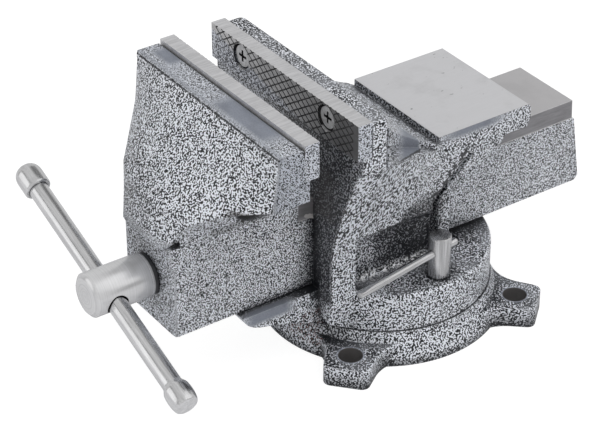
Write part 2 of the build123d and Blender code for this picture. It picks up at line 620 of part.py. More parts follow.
def washer_y(radius, bore, y0, y1):
    """A washer around the spindle between y0 and y1."""
    return y_cylinder(radius, y0, y1, 0, SPINDLE_Z) - y_cylinder(bore, y0 - 1, y1 + 1, 0, SPINDLE_Z)


def retainer_start():
    """Inner face of the slide's front wall, with a small gap."""
    return SLIDE_FRONT_Y + SLIDE_NOSE_WALL + SEAT


def split_pin_y():
    """Where the split pin crosses the spindle, just behind the last washer."""
    return retainer_start() + 2 * RETAINER_THICK + SPRING_LENGTH + SPLIT_PIN_R + RUN


def spring():
    """Pressure spring that keeps the spindle's play out."""
    height = SPRING_LENGTH - 2 * SPRING_WIRE_R - 0.1
    path = Helix(pitch=height / SPRING_COILS, height=height, radius=SPRING_R)
    start = Plane(origin=path @ 0, z_dir=path % 0)
    coil = sweep(start * Circle(SPRING_WIRE_R), path=path)
    y0 = retainer_start() + RETAINER_THICK + SPRING_WIRE_R + 0.05
    return Pos(0, y0, SPINDLE_Z) * Rot(-90, 0, 0) * coil


def split_pin():
    """Pin across the spindle, both legs as one rod."""
    return Pos(0, split_pin_y(), SPINDLE_Z) * Rot(0, 90, 0) * Cylinder(SPLIT_PIN_R, SPLIT_PIN_LENGTH)


def handle_bar():
    """The bar with its formed right-hand end, without the cap."""
    start, bulb = BAR_LEFT + CAP_WALL, BAR_RIGHT - BULB_LENGTH
    neck_end, shoulder = (bulb - BULB_FLARE, BAR_R), (bulb + 3, BULB_R)
    half = Polyline((start, 0), (start, BAR_R - 0.6), (start + 0.6, BAR_R), neck_end)
    bend = [(bulb - 2, BAR_R + 0.7), (bulb + 1, BULB_R - 0.1)]
    flare = Spline(neck_end, *bend, shoulder, tangents=[(1, 0), (1, 0)])
    tip = [(BAR_RIGHT - 2.6, BULB_R - 0.1), (BAR_RIGHT - 0.5, BULB_R - 1.3), (BAR_RIGHT, BULB_R - 2)]
    end = Polyline(shoulder, *tip, (BAR_RIGHT, 0), (start, 0))
    return bar_place() * revolve(make_face([half, flare, end]), Axis.X)


def handle_cap():
    """The pressed-on cap at the left-hand end of the bar."""
    wall, inner = BAR_LEFT + CAP_WALL - 0.1, BAR_LEFT + CAP_LENGTH
    face_rim, shoulder = (BAR_LEFT, CAP_R - 3), (BAR_LEFT + 4.6, CAP_R)
    start = Polyline((wall, 0), (BAR_LEFT, 0), face_rim)
    dome = Spline(face_rim, (BAR_LEFT + 1.6, CAP_R - 1), shoulder, tangents=[(0, 1), (1, 0)])
    mouth = [(inner - 0.4, CAP_R), (inner, CAP_R - 0.4), (inner, BAR_R + RUN)]
    rest = Polyline(shoulder, *mouth, (wall, BAR_R + RUN), (wall, 0))
    return bar_place() * revolve(make_face([start, dome, rest]), Axis.X)


def lock_place(side):
    """Location of a lock bolt on the disc top."""
    return Pos(side * LOCK_X, LOCK_Y, DISC_TOP + SEAT)


def rod_place(side):
    """Location of a lock rod's axis in its bolt head; the left side mirrors the right one."""
    turn = LOCK_ROD_TURN if side > 0 else 180 - LOCK_ROD_TURN
    return lock_place(side) * Pos(0, 0, LOCK_ROD_HEIGHT) * Rot(0, 0, turn)


def lock_bolt(side):
    """A lock bolt: drilled round head on the disc, shank through it into the clamp nut."""
    head = Pos(0, 0, LOCK_HEAD_HEIGHT / 2) * Cylinder(LOCK_HEAD_R, LOCK_HEAD_HEIGHT)
    head = chamfer(head.edges().group_by(Axis.Z)[-1], FINE_EDGE)
    bolt = lock_place(side) * head
    bolt += z_cylinder(LOCK_SHANK_R, GROOVE_FOOT + 0.4, DISC_TOP + 1, side * LOCK_X, LOCK_Y)
    return bolt - rod_place(side) * Rot(0, 90, 0) * Cylinder(LOCK_ROD_R + RUN, 4 * LOCK_HEAD_R)


def lock_rod(side):
    """The thin rod that turns a lock bolt."""
    length = LOCK_ROD_FRONT + LOCK_ROD_BACK
    rod = Rot(0, 90, 0) * Cylinder(LOCK_ROD_R, length)
    rod = fillet(rod.edges(), LOCK_ROD_EDGE)
    return rod_place(side) * Pos((LOCK_ROD_FRONT - LOCK_ROD_BACK) / 2, 0, 0) * rod


def clamp_nut(side):
    """The square nut that grips the base under the lips of its groove."""
    half, top = CLAMP_NUT_SIZE / 2, GROOVE_LIP_FOOT - 0.1
    nut = block(-half, half, -half, half, top - CLAMP_NUT_THICK, top)
    nut = Pos(side * LOCK_X, LOCK_Y, 0) * fillet(nut.edges().filter_by(Axis.Z), CLAMP_NUT_CORNER)
    return nut - z_cylinder(LOCK_SHANK_R + RUN, 0, BASE_TOP, side * LOCK_X, LOCK_Y)


def build_all():
    """Make every node and write it."""
    front_grip = REAR_GRIP_Y - JAW_GAP
    save(swivel_base(), "swivel_base")
    save(fixed_jaw(), "fixed_jaw")
    save(jaw_plate(REAR_GRIP_Y, 1), "rear_jaw_plate")
    save(moving_jaw(), "moving_jaw")
    save(jaw_plate(front_grip, -1), "front_jaw_plate")
    for side, name in ((-1, "left"), (1, "right")):
        save(plate_screw(side * PLATE_SCREW_X, REAR_GRIP_Y, 1), f"rear_plate_screw_{name}")
        save(plate_screw(side * PLATE_SCREW_X, front_grip, -1), f"front_plate_screw_{name}")
        save(lock_bolt(side), f"lock_bolt_{name}")
        save(lock_rod(side), f"lock_rod_{name}")
        save(clamp_nut(side), f"clamp_nut_{name}")
    save(pivot_washer(), "pivot_washer")
    save(pivot_bolt(), "pivot_bolt")
    save(nut_block(), "spindle_nut")
    save(nut_bolt(), "nut_bolt")
    save(spindle(), "spindle")
    save(washer_y(HEAD_R - 0.5, SPINDLE_R + RUN, HEAD_BACK_Y, HEAD_BACK_Y + WASHER_THICK), "thrust_washer")
    y0 = retainer_start()
    y1 = y0 + RETAINER_THICK + SPRING_LENGTH
    save(washer_y(RETAINER_R, SPINDLE_R + RUN, y0, y0 + RETAINER_THICK), "spring_washer_front")
    save(washer_y(RETAINER_R, SPINDLE_R + RUN, y1, y1 + RETAINER_THICK), "spring_washer_rear")
    save(spring(), "spindle_spring")
    save(split_pin(), "split_pin")
    save(handle_bar(), "handle_bar")
    save(handle_cap(), "handle_cap")


build_all()
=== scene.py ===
"""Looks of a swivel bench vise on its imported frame: finishes, fine parts, studio light and camera.

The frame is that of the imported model: +Z up from the bench, and the jaws open towards -Y. Sizes of
pieces are in millimetres, and become metres where a mesh, a material or the camera takes them.
Every new piece is a numpy surface, and every finish is a material of procedural nodes.
"""

import logging
import math
from dataclasses import dataclass, field, replace
from enum import Enum
from typing import Union

import bmesh
import bpy
import numpy as np
from mathutils import Matrix, Vector
from mathutils.geometry import delaunay_2d_cdt

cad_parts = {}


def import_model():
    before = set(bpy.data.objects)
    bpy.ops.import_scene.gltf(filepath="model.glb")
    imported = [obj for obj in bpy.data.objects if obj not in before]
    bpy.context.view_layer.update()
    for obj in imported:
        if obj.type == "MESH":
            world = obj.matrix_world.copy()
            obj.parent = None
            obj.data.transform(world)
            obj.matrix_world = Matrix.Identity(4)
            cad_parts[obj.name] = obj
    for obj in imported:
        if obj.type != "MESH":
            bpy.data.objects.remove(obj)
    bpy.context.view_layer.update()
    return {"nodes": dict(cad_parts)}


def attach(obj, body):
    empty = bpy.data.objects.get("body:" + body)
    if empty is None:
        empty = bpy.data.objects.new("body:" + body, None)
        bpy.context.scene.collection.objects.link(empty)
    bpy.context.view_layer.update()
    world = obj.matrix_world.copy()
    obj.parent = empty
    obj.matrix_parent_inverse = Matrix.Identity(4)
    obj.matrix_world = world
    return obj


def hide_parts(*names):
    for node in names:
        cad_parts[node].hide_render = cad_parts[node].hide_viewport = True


log = logging.getLogger("vise")

MM = 0.001

Pair = tuple[float, float]
Triple = tuple[float, float, float]
Socket = bpy.types.NodeSocket
Outputs = bpy.types.NodeOutputs
Feed = Union[Socket, float, Triple]
Faces = list[list[int]]


def metres(values: Triple) -> Triple:
    """A place or size in millimetres, in metres."""
    return tuple(v * MM for v in values)


def toned(colour: Triple, share: float) -> Triple:
    """A colour made darker or lighter by a share, at most white."""
    return tuple(min(1.0, v * share) for v in colour)


class Slot(Enum):
    """Kinds of finish that new pieces are given with; the script passes them along and does not use them."""

    JAW_STEEL = "jaw_steel"
    SCREW_STEEL = "screw_steel"
    TURNED_STEEL = "turned_steel"
    HANDLE_CHROME = "handle_chrome"
    DARK_STEEL = "dark_steel"


class Graph:
    """Short calls for laying nodes into one node tree."""

    def __init__(self, tree: bpy.types.NodeTree) -> None:
        """Keep the tree that the calls write to."""
        self.tree = tree

    def add(self, kind: str, **settings: object) -> bpy.types.Node:
        """Add a node.

        Args:
            kind: the node's class name.
            settings: attributes to set on it.

        Returns:
            The new node.
        """
        node = self.tree.nodes.new(kind)
        for name, value in settings.items():
            setattr(node, name, value)
        return node

    def feed(self, socket: Socket, value: Feed) -> None:
        """Link a socket or write a plain value into an input.

        Args:
            socket: the input to feed.
            value: an output socket, a number, a vector or a colour.
        """
        if isinstance(value, Socket):
            self.tree.links.new(value, socket)
        elif socket.type == "RGBA" and len(value) == 3:
            socket.default_value = (*value, 1.0)
        else:
            socket.default_value = value

    def math(self, operation: str, a: Feed, b: Feed = 0.0, clamp: bool = False) -> Socket:
        """One sum on two numbers.

        Args:
            operation: the sum's name in Blender.
            a: the first number.
            b: the second number.
            clamp: whether the result is held between nought and one.

        Returns:
            The result's socket.
        """
        node = self.add("ShaderNodeMath", operation=operation, use_clamp=clamp)
        self.feed(node.inputs[0], a)
        self.feed(node.inputs[1], b)
        return node.outputs[0]

    def times(self, a: Feed, b: Feed) -> Feed:
        """The product of two numbers; a plain nought or one needs no node.

        Args:
            a: the first number.
            b: the second number.

        Returns:
            The product, or a plain nought, or the other number.
        """
        for known, other in ((a, b), (b, a)):
            if isinstance(known, float) and known in (0.0, 1.0):
                return other if known else 0.0
        return self.math("MULTIPLY", a, b)

    def plus(self, a: Feed, b: Feed) -> Feed:
        """The sum of two numbers; adding a plain nought needs no node."""
        return a if isinstance(b, float) and b == 0.0 else self.math("ADD", a, b)

    def minus(self, a: Feed, b: Feed) -> Feed:
        """The first number less the second; taking off a plain nought needs no node."""
        return a if isinstance(b, float) and b == 0.0 else self.math("SUBTRACT", a, b)

    def higher(self, a: Feed, b: Feed) -> Feed:
        """The higher of two masks, which are never below nought.

        Args:
            a: the first mask.
            b: the second mask.

        Returns:
            The higher one; where one is a plain nought, the other.
        """
        for known, other in ((a, b), (b, a)):
            if isinstance(known, float) and known == 0.0:
                return other
        return self.math("MAXIMUM", a, b)

    def vector_math(self, operation: str, a: Feed, b: Feed = (0.0, 0.0, 0.0)) -> Socket:
        """One sum on two vectors.

        Args:
            operation: the sum's name in Blender.
            a: the first vector.
            b: the second vector.

        Returns:
            The result's socket; a length or a dot product is a number.
        """
        node = self.add("ShaderNodeVectorMath", operation=operation)
        self.feed(node.inputs[0], a)
        self.feed(node.inputs[1], b)
        return node.outputs["Value" if operation in ("DOT_PRODUCT", "LENGTH") else "Vector"]

    def scaled(self, vector: Feed, factor: Feed) -> Socket:
        """A vector times a number.

        Args:
            vector: the vector.
            factor: the number.

        Returns:
            The longer or shorter vector's socket.
        """
        node = self.add("ShaderNodeVectorMath", operation="SCALE")
        self.feed(node.inputs[0], vector)
        self.feed(node.inputs["Scale"], factor)
        return node.outputs[0]

    def apart(self, vector: Feed) -> Outputs:
        """A vector's three numbers.

        Args:
            vector: the vector.

        Returns:
            The outputs for X, Y and Z.
        """
        node = self.add("ShaderNodeSeparateXYZ")
        self.feed(node.inputs[0], vector)
        return node.outputs

    def facing(self, output: str = "Normal") -> Outputs:
        """The way that the surface faces, as the three numbers of its normal."""
        return self.apart(self.add("ShaderNodeNewGeometry").outputs[output])

    def mixed(self, kind: str, factor: Feed, a: Feed, b: Feed) -> Feed:
        """Mix two values.

        Args:
            kind: Color or Float, as in the names of the node's sockets.
            factor: share of the second value.
            a: the first value.
            b: the second value.

        Returns:
            The mixed value; the first one where the factor is a plain nought.
        """
        if isinstance(factor, float) and factor == 0.0:
            return a
        node = self.add("ShaderNodeMix", data_type={"Color": "RGBA", "Float": "FLOAT"}[kind])
        sockets = {socket.identifier: socket for socket in (*node.inputs, *node.outputs)}
        for name, value in (("Factor_Float", factor), (f"A_{kind}", a), (f"B_{kind}", b)):
            self.feed(sockets[name], value)
        return sockets[f"Result_{kind}"]

    def mix(self, factor: Feed, a: Feed, b: Feed) -> Feed:
        """Two colours mixed by the share of the second."""
        return self.mixed("Color", factor, a, b)

    def blend(self, factor: Feed, a: Feed, b: Feed) -> Feed:
        """Two numbers mixed by the share of the second."""
        return self.mixed("Float", factor, a, b)

    def cover(self, colour: Feed, tone: Feed, mask: Feed, share: float = 1.0) -> Feed:
        """A colour with a tone laid over it where a mask is, by a share."""
        return self.mix(self.times(mask, share), colour, tone)

    def remap(self, value: Feed, low: Feed, high: Feed, start: Feed = 0.0, end: Feed = 1.0) -> Socket:
        """Carry a number smoothly from one range to another, held at both ends.

        Args:
            value: the number.
            low: where the old range starts.
            high: where the old range ends.
            start: where the new range starts.
            end: where the new range ends.

        Returns:
            The new number's socket.
        """
        node = self.add("ShaderNodeMapRange", interpolation_type="SMOOTHSTEP")
        names = ("Value", "From Min", "From Max", "To Min", "To Max")
        for name, number in zip(names, (value, low, high, start, end)):
            self.feed(node.inputs[name], number)
        return node.outputs["Result"]

    def noise(self, vector: Feed, scale: Feed, detail: float = 2.0, rough: float = 0.5) -> Socket:
        """Soft noise around one half.

        Args:
            vector: the coordinates.
            scale: lumps in a metre.
            detail: finer layers added to it.
            rough: strength of the finer layers.

        Returns:
            The noise's socket.
        """
        node = self.add("ShaderNodeTexNoise")
        self.feed(node.inputs["Vector"], vector)
        self.feed(node.inputs["Scale"], scale)
        node.inputs["Detail"].default_value = detail
        node.inputs["Roughness"].default_value = rough
        return node.outputs["Fac"]

    def stretch(self, vector: Feed, scale: Triple, turn: Triple = (0.0, 0.0, 0.0)) -> Socket:
        """Turn coordinates and scale them along each axis.

        Args:
            vector: the coordinates.
            scale: factor along each axis.
            turn: degrees about each axis.

        Returns:
            The new coordinates' socket.
        """
        node = self.add("ShaderNodeMapping")
        self.feed(node.inputs["Vector"], vector)
        node.inputs["Rotation"].default_value = [math.radians(a) for a in turn]
        node.inputs["Scale"].default_value = scale
        return node.outputs["Vector"]

    def askew(self, vector: Feed, scale: Triple = (1.0, 1.0, 1.0)) -> Socket:
        """Coordinates turned so that no flat face of the vise lies along the grid that a noise is made on."""
        return self.stretch(vector, scale, (33.0, 24.0, 41.0))

    def turning(self, place: Feed, centre: Triple, axis: Triple = (0.0, 0.0, 1.0)) -> tuple[Socket, Socket]:
        """Coordinates that stay the same round an axis: the place's share along it, and the length of the rest.

        Args:
            place: the coordinates.
            centre: a place on the axis, in metres.
            axis: the axis, as a unit vector.

        Returns:
            Radius and place along the axis as a vector, and the radius alone.
        """
        away = self.vector_math("SUBTRACT", place, centre)
        along = self.vector_math("DOT_PRODUCT", away, axis)
        radius = self.vector_math("LENGTH", self.vector_math("SUBTRACT", away, self.scaled(axis, along)))
        joined = self.add("ShaderNodeCombineXYZ")
        self.feed(joined.inputs[0], radius)
        self.feed(joined.inputs[1], along)
        return joined.outputs[0], radius

    def bump(self, height: Feed, distance: float, strength: float, normal: Socket) -> Socket:
        """A normal from a height map.

        Args:
            height: the height's socket.
            distance: metres for a height of one.
            strength: share of the effect.
            normal: the normal that it starts from.

        Returns:
            The bumped normal's socket.
        """
        node = self.add("ShaderNodeBump")
        node.inputs["Strength"].default_value = strength
        node.inputs["Distance"].default_value = distance
        self.feed(node.inputs["Height"], height)
        self.feed(node.inputs["Normal"], normal)
        return node.outputs["Normal"]


class EffectGroup:
    """A shader node group that several finishes place with their own values."""

    title = ""
    takes: tuple[tuple[str, str, object], ...] = ()
    gives: tuple[tuple[str, str], ...] = ()
    _made: dict[str, bpy.types.NodeTree] = {}

    def tree(self) -> bpy.types.NodeTree:
        """The group's node tree, made at its first use.

        Returns:
            The tree, with its named inputs and outputs.
        """
        if self.title not in self._made:
            tree = bpy.data.node_groups.new(self.title, "ShaderNodeTree")
            for name, kind, value in self.takes:
                socket = tree.interface.new_socket(name, in_out="INPUT", socket_type=kind)
                if value is not None:
                    socket.default_value = value
            for name, kind in self.gives:
                tree.interface.new_socket(name, in_out="OUTPUT", socket_type=kind)
            graph = Graph(tree)
            source = graph.add("NodeGroupInput").outputs
            target = graph.add("NodeGroupOutput").inputs
            for name, socket in self.lay(graph, source).items():
                graph.feed(target[name], socket)
            self._made[self.title] = tree
        return self._made[self.title]

    def lay(self, graph: Graph, source: Outputs) -> dict[str, Feed]:
        """Lay the group's nodes.

        Args:
            graph: the group's graph.
            source: the group's inputs by name.

        Returns:
            What feeds each output, by its name.
        """
        raise NotImplementedError

    def place(self, graph: Graph, **values: Feed) -> Outputs:
        """Place the group in a material.

        Args:
            graph: the material's graph.
            values: inputs by name.

        Returns:
            The placed node's outputs.
        """
        node = graph.add("ShaderNodeGroup")
        node.node_tree = self.tree()
        for name, value in values.items():
            graph.feed(node.inputs[name], value)
        return node.outputs


FLOAT, VECTOR = "NodeSocketFloat", "NodeSocketVector"


class Region(EffectGroup):
    """Mask of a box: one inside, falling to nought over a narrow edge."""

    title = "box region"
    takes = (("Vector", VECTOR, None), ("Low", VECTOR, None), ("High", VECTOR, None), ("Edge", VECTOR, None))
    gives = (("Mask", FLOAT),)

    def lay(self, graph: Graph, source: Outputs) -> dict[str, Feed]:
        """The product over the axes of smooth steps at the low and the high corner.

        Args:
            graph: the group's graph.
            source: coordinates, both corners and the width of the edge.

        Returns:
            The mask.
        """
        above = graph.apart(graph.vector_math("SUBTRACT", source["Vector"], source["Low"]))
        below = graph.apart(graph.vector_math("SUBTRACT", source["High"], source["Vector"]))
        width = graph.apart(source["Edge"])
        mask: Feed = 1.0
        for inwards in (above, below):
            for axis in range(3):
                mask = graph.times(mask, graph.remap(inwards[axis], 0.0, width[axis]))
        return {"Mask": mask}


class SoftEdge(EffectGroup):
    """Rounded edges: the normal smoothed over a radius, and a mask where it leaves the face's own normal."""

    title = "soft edge"
    takes = (("Radius", FLOAT, 0.0008), ("Reach", FLOAT, 0.25))
    gives = (("Normal", VECTOR), ("Edge", FLOAT))

    def lay(self, graph: Graph, source: Outputs) -> dict[str, Feed]:
        """One less the dot product of the smoothed normal and the face's own, against a reach.

        Args:
            graph: the group's graph.
            source: radius, and how far apart the normals are where the mask is one.

        Returns:
            The smoothed normal and the mask of edges.
        """
        soft = graph.add("ShaderNodeBevel", samples=6)
        graph.feed(soft.inputs["Radius"], source["Radius"])
        own = graph.add("ShaderNodeNewGeometry").outputs["Normal"]
        apart = graph.minus(1.0, graph.vector_math("DOT_PRODUCT", soft.outputs[0], own))
        return {"Normal": soft.outputs[0], "Edge": graph.remap(apart, 0.01, source["Reach"])}


class Speckle(EffectGroup):
    """Hammered speckle: dark worms between light islands, with a share that drifts over the surface."""

    title = "hammered speckle"
    takes = (("Vector", VECTOR, None), ("Grain", FLOAT, 0.001), ("Share", FLOAT, 0.5))
    gives = (("Dark", FLOAT), ("Height", FLOAT))
    soft = 0.03
    drift = 0.05

    def lay(self, graph: Graph, source: Outputs) -> dict[str, Feed]:
        """A noise of the grain's size and a finer one, cut sharply at a level that the share and a slow noise move.

        Args:
            graph: the group's graph.
            source: coordinates, size of a grain in metres and share of dark.

        Returns:
            The mask of the dark worms, and the paint's height.
        """
        scale = graph.math("DIVIDE", 1.0, source["Grain"])
        place = graph.askew(source["Vector"])
        main = graph.noise(place, scale, 0.0)
        fine = graph.noise(place, graph.times(scale, 1.9), 0.0)
        both = graph.plus(graph.times(main, 0.8), graph.times(fine, 0.2))
        slow = graph.times(graph.minus(graph.noise(place, 90.0, 2.0), 0.5), self.drift)
        moved = graph.times(graph.minus(source["Share"], 0.5), 0.26)
        level = graph.plus(graph.math("ADD", 0.5, moved), slow)
        light = graph.remap(both, graph.minus(level, self.soft), graph.plus(level, self.soft))
        return {"Dark": graph.minus(1.0, light), "Height": light}


class Mottle(EffectGroup):
    """Slow cloudy patches, for tone that changes over a hand's breadth."""

    title = "mottle"
    takes = (("Vector", VECTOR, None), ("Scale", FLOAT, 40.0), ("Contrast", FLOAT, 1.0))
    gives = (("Value", FLOAT),)

    def lay(self, graph: Graph, source: Outputs) -> dict[str, Feed]:
        """A noise spread about one half by its contrast.

        Args:
            graph: the group's graph.
            source: coordinates, patches in a metre and contrast.

        Returns:
            The value, from nought to one.
        """
        slow = graph.minus(graph.noise(source["Vector"], source["Scale"], 4.0, 0.6), 0.5)
        return {"Value": graph.math("ADD", graph.times(slow, source["Contrast"]), 0.5, clamp=True)}


class Streaks(EffectGroup):
    """Fine parallel tool marks: noise on coordinates that the material has drawn out along the marks."""

    title = "tool marks"
    takes = (("Vector", VECTOR, None), ("Scale", FLOAT, 400.0))
    gives = (("Value", FLOAT),)

    def lay(self, graph: Graph, source: Outputs) -> dict[str, Feed]:
        """A coarse and a fine noise, mixed.

        Args:
            graph: the group's graph.
            source: drawn-out coordinates and marks in a metre.

        Returns:
            The marks' value around one half.
        """
        coarse = graph.noise(source["Vector"], source["Scale"], 3.0, 0.7)
        fine = graph.noise(source["Vector"], graph.times(source["Scale"], 3.1), 2.0, 0.6)
        return {"Value": graph.blend(0.4, coarse, fine)}


class HollowShade(EffectGroup):
    """Mask of painted shade in recesses, inner corners and contacts, from occlusion: one deep inside, nought on open
    faces.
    """

    title = "hollows"
    takes = (("Reach", FLOAT, 0.014), ("Open", FLOAT, 0.86), ("Closed", FLOAT, 0.40))
    gives = (("Mask", FLOAT),)

    def lay(self, graph: Graph, source: Outputs) -> dict[str, Feed]:
        """How much of the half-space over a point is closed off within a reach.

        Args:
            graph: the group's graph.
            source: reach in metres, and how open a place is where the mask is nought and one.

        Returns:
            The mask.
        """
        near = graph.add("ShaderNodeAmbientOcclusion", samples=8)
        graph.feed(near.inputs["Distance"], source["Reach"])
        return {"Mask": graph.remap(near.outputs["AO"], source["Closed"], source["Open"], 1.0, 0.0)}


class Stroke(EffectGroup):
    """Mask of a ragged line drawn in the Y-Z plane from one point to another."""

    title = "ragged stroke"
    takes = (
        ("Vector", VECTOR, None), ("Start", VECTOR, None), ("End", VECTOR, None), ("Half", FLOAT, 0.001),
        ("Ragged", FLOAT, 0.001),
    )
    gives = (("Mask", FLOAT),)
    edge = 0.12 * MM

    def lay(self, graph: Graph, source: Outputs) -> dict[str, Feed]:
        """Distance from the nearest point of the line, made uneven by a noise, against its half width.

        Args:
            graph: the group's graph.
            source: coordinates, both ends, half width and raggedness, in metres.

        Returns:
            The mask.
        """
        flat = graph.vector_math("MULTIPLY", source["Vector"], (0.0, 1.0, 1.0))
        way = graph.vector_math("SUBTRACT", source["End"], source["Start"])
        place = graph.vector_math("SUBTRACT", flat, source["Start"])
        length = graph.vector_math("DOT_PRODUCT", way, way)
        share = graph.math("DIVIDE", graph.vector_math("DOT_PRODUCT", place, way), length)
        share = graph.math("MINIMUM", graph.math("MAXIMUM", share, 0.0), 1.0)
        away = graph.vector_math("LENGTH", graph.vector_math("SUBTRACT", place, graph.scaled(way, share)))
        torn = graph.noise(graph.askew(source["Vector"], (1.0, 1.0, 0.7)), 820.0, 1.0)
        wobble = graph.times(graph.minus(torn, 0.5), graph.times(source["Ragged"], 5.0))
        reach = graph.plus(source["Half"], wobble)
        return {"Mask": graph.remap(graph.minus(reach, away), -self.edge, self.edge)}


class Brushed(EffectGroup):
    """Normal spread by marks finer than a pixel: it leans to and fro along one direction."""

    title = "brushed normal"
    takes = (("Vector", VECTOR, None), ("Lean", VECTOR, None), ("Normal", VECTOR, None), ("Spread", FLOAT, 0.5))
    gives = (("Normal", VECTOR),)

    def lay(self, graph: Graph, source: Outputs) -> dict[str, Feed]:
        """The normal plus a share of the lean direction that a very fine noise sets, at length one.

        Args:
            graph: the group's graph.
            source: drawn-out coordinates, direction of the lean, normal and spread.

        Returns:
            The spread normal.
        """
        fine = graph.noise(source["Vector"], 9000.0, 1.0, 0.6)
        lean = graph.scaled(source["Lean"], graph.times(graph.minus(fine, 0.5), source["Spread"]))
        return {"Normal": graph.vector_math("NORMALIZE", graph.vector_math("ADD", source["Normal"], lean))}


def shader(material: bpy.types.Material) -> tuple[Graph, bpy.types.Node, Socket]:
    """Start a material's tree.

    Args:
        material: the new material.

    Returns:
        Its graph, its Principled shader and its Object coordinates.
    """
    material.use_nodes = True
    material.node_tree.nodes.clear()
    graph = Graph(material.node_tree)
    out = graph.add("ShaderNodeOutputMaterial")
    surface = graph.add("ShaderNodeBsdfPrincipled")
    graph.feed(out.inputs["Surface"], surface.outputs["BSDF"])
    return graph, surface, graph.add("ShaderNodeTexCoord").outputs["Object"]


@dataclass(frozen=True)
class Box:
    """A box in the frame, in millimetres, how wide its mask fades in from each face, and the mask's height."""

    low: Triple
    high: Triple
    fade: Triple | None = None
    strength: float = 1.0

    def paired(self) -> tuple["Box", "Box"]:
        """The box, and its mirror image on the other side of the vise."""
        (low_x, *low), (high_x, *high) = self.low, self.high
        return self, replace(self, low=(-high_x, *low), high=(-low_x, *high))


@dataclass(frozen=True)
class Line:
    """A line along a casting's side, between two places in Y and Z, in millimetres."""

    start: Pair
    end: Pair
    half: float
    ragged: float


@dataclass(frozen=True)
class Side:
    """A plane that bounds a patch: its direction, its distance and its fade, in millimetres."""

    direction: Triple
    limit: float
    fade: float


@dataclass(frozen=True)
class Patches:
    """Places where a casting's paint differs, in millimetres of the frame.

    bare is ground iron. smooth and sparse change the speckle. The boxes of denser speckle add painted shade,
    and so do the dark boxes, with a pit on the fixed jaw; unshaded takes the painted shade of recesses off.
    creased gets painted shade along its edges. leaf bounds a smooth place inside the scoop box on both sides.
    """

    bare: tuple[Box, ...] = ()
    smooth: tuple[Box, ...] = ()
    sparse: tuple[Box, ...] = ()
    dense_shade: tuple[Box, ...] = ()
    chipped: tuple[Box, ...] = ()
    dark: tuple[Box, ...] = ()
    rusty: tuple[Box, ...] = ()
    unshaded: tuple[Box, ...] = ()
    creased: tuple[Box, ...] = ()
    lines: tuple[Line, ...] = ()
    pale_strokes: tuple[Line, ...] = ()
    leaf: tuple[Side, ...] = ()
    scoop: Box = Box((12, -36, 85), (52, 0, 119))
    bores: tuple[Triple, ...] = ()

    @staticmethod
    def mask(graph: Graph, place: Feed, boxes: tuple[Box, ...], edge: float) -> Feed:
        """The highest of several boxes' masks.

        Args:
            graph: the material's graph.
            place: Object coordinates.
            boxes: the boxes.
            edge: millimetres over which a box without a fade of its own falls off.

        Returns:
            The mask; a plain nought where there is no box.
        """
        mask: Feed = 0.0
        for box in boxes:
            fade = metres(box.fade or (edge,) * 3)
            region = Region().place(graph, Vector=place, Low=metres(box.low), High=metres(box.high), Edge=fade)
            mask = graph.higher(mask, graph.times(region["Mask"], box.strength))
        return mask

    @staticmethod
    def strokes(graph: Graph, place: Feed, lines: tuple[Line, ...]) -> Feed:
        """The highest of several lines' masks.

        Args:
            graph: the material's graph.
            place: Object coordinates.
            lines: the lines.

        Returns:
            The mask; a plain nought where there is no line.
        """
        mask: Feed = 0.0
        for line in lines:
            start, end = (metres((0.0, *point)) for point in (line.start, line.end))
            half, ragged = line.half * MM, line.ragged * MM
            stroke = Stroke().place(graph, Vector=place, Start=start, End=end, Half=half, Ragged=ragged)
            mask = graph.higher(mask, stroke["Mask"])
        return mask

    def scooped(self, graph: Graph, place: Feed) -> tuple[Feed, Feed]:
        """The smooth leaf in each side's scoop, and the dark torn line at its first plane.

        The leaf is the scoop box's mask times a smooth step at every plane. The line is where the
        distance from the first plane is less than a noise, inside the other planes.

        Args:
            graph: the material's graph.
            place: Object coordinates.

        Returns:
            The masks of the leaf and of the line.
        """
        mirrored = graph.vector_math("ABSOLUTE", graph.vector_math("MULTIPLY", place, (1.0, 0.0, 0.0)))
        folded = graph.vector_math("ADD", graph.vector_math("MULTIPLY", place, (0.0, 1.0, 1.0)), mirrored)
        leaf = rim = self.mask(graph, folded, (self.scoop,), 0.6)
        for number, side in enumerate(self.leaf):
            beyond = graph.vector_math("DOT_PRODUCT", folded, side.direction)
            beyond = graph.minus(beyond, side.limit * MM)
            step = graph.remap(beyond, -side.fade * MM, 0.0, 1.0, 0.0)
            leaf = graph.times(leaf, step)
            if number:
                rim = graph.times(rim, step)
            else:
                torn = graph.times(graph.noise(place, 900.0, 1.0), 0.9 * MM)
                edge = graph.minus(graph.math("ABSOLUTE", beyond), torn)
                rim = graph.times(rim, graph.remap(edge, -0.1 * MM, 0.1 * MM, 1.0, 0.0))
        return leaf, rim

    def bored(self, graph: Graph, place: Feed) -> tuple[Feed, Feed]:
        """Upright bolt holes: steps at distances from each hole's axis.

        Args:
            graph: the material's graph.
            place: Object coordinates.

        Returns:
            Masks of the holes' insides, which take painted shade, and of the lighter rings round their mouths.
        """
        inside: Feed = 0.0
        ring: Feed = 0.0
        for x, y, radius in self.bores:
            away = graph.turning(place, metres((x, y, 0.0)))[1]
            deep = graph.remap(away, (radius + 0.05) * MM, (radius + 0.15) * MM, 1.0, 0.0)
            near = graph.remap(away, (radius + 0.5) * MM, (radius + 1.1) * MM, 1.0, 0.0)
            inside, ring = graph.higher(inside, deep), graph.higher(ring, near)
        return inside, ring


@dataclass(frozen=True)
class Spot:
    """A tone for the places that a mask marks, and how far it covers there."""

    tone: Triple
    share: float = 1.0

    def over(self, graph: Graph, colour: Feed, mask: Feed) -> Feed:
        """The colour with this tone laid over it where the mask is."""
        return graph.cover(colour, self.tone, mask, self.share)


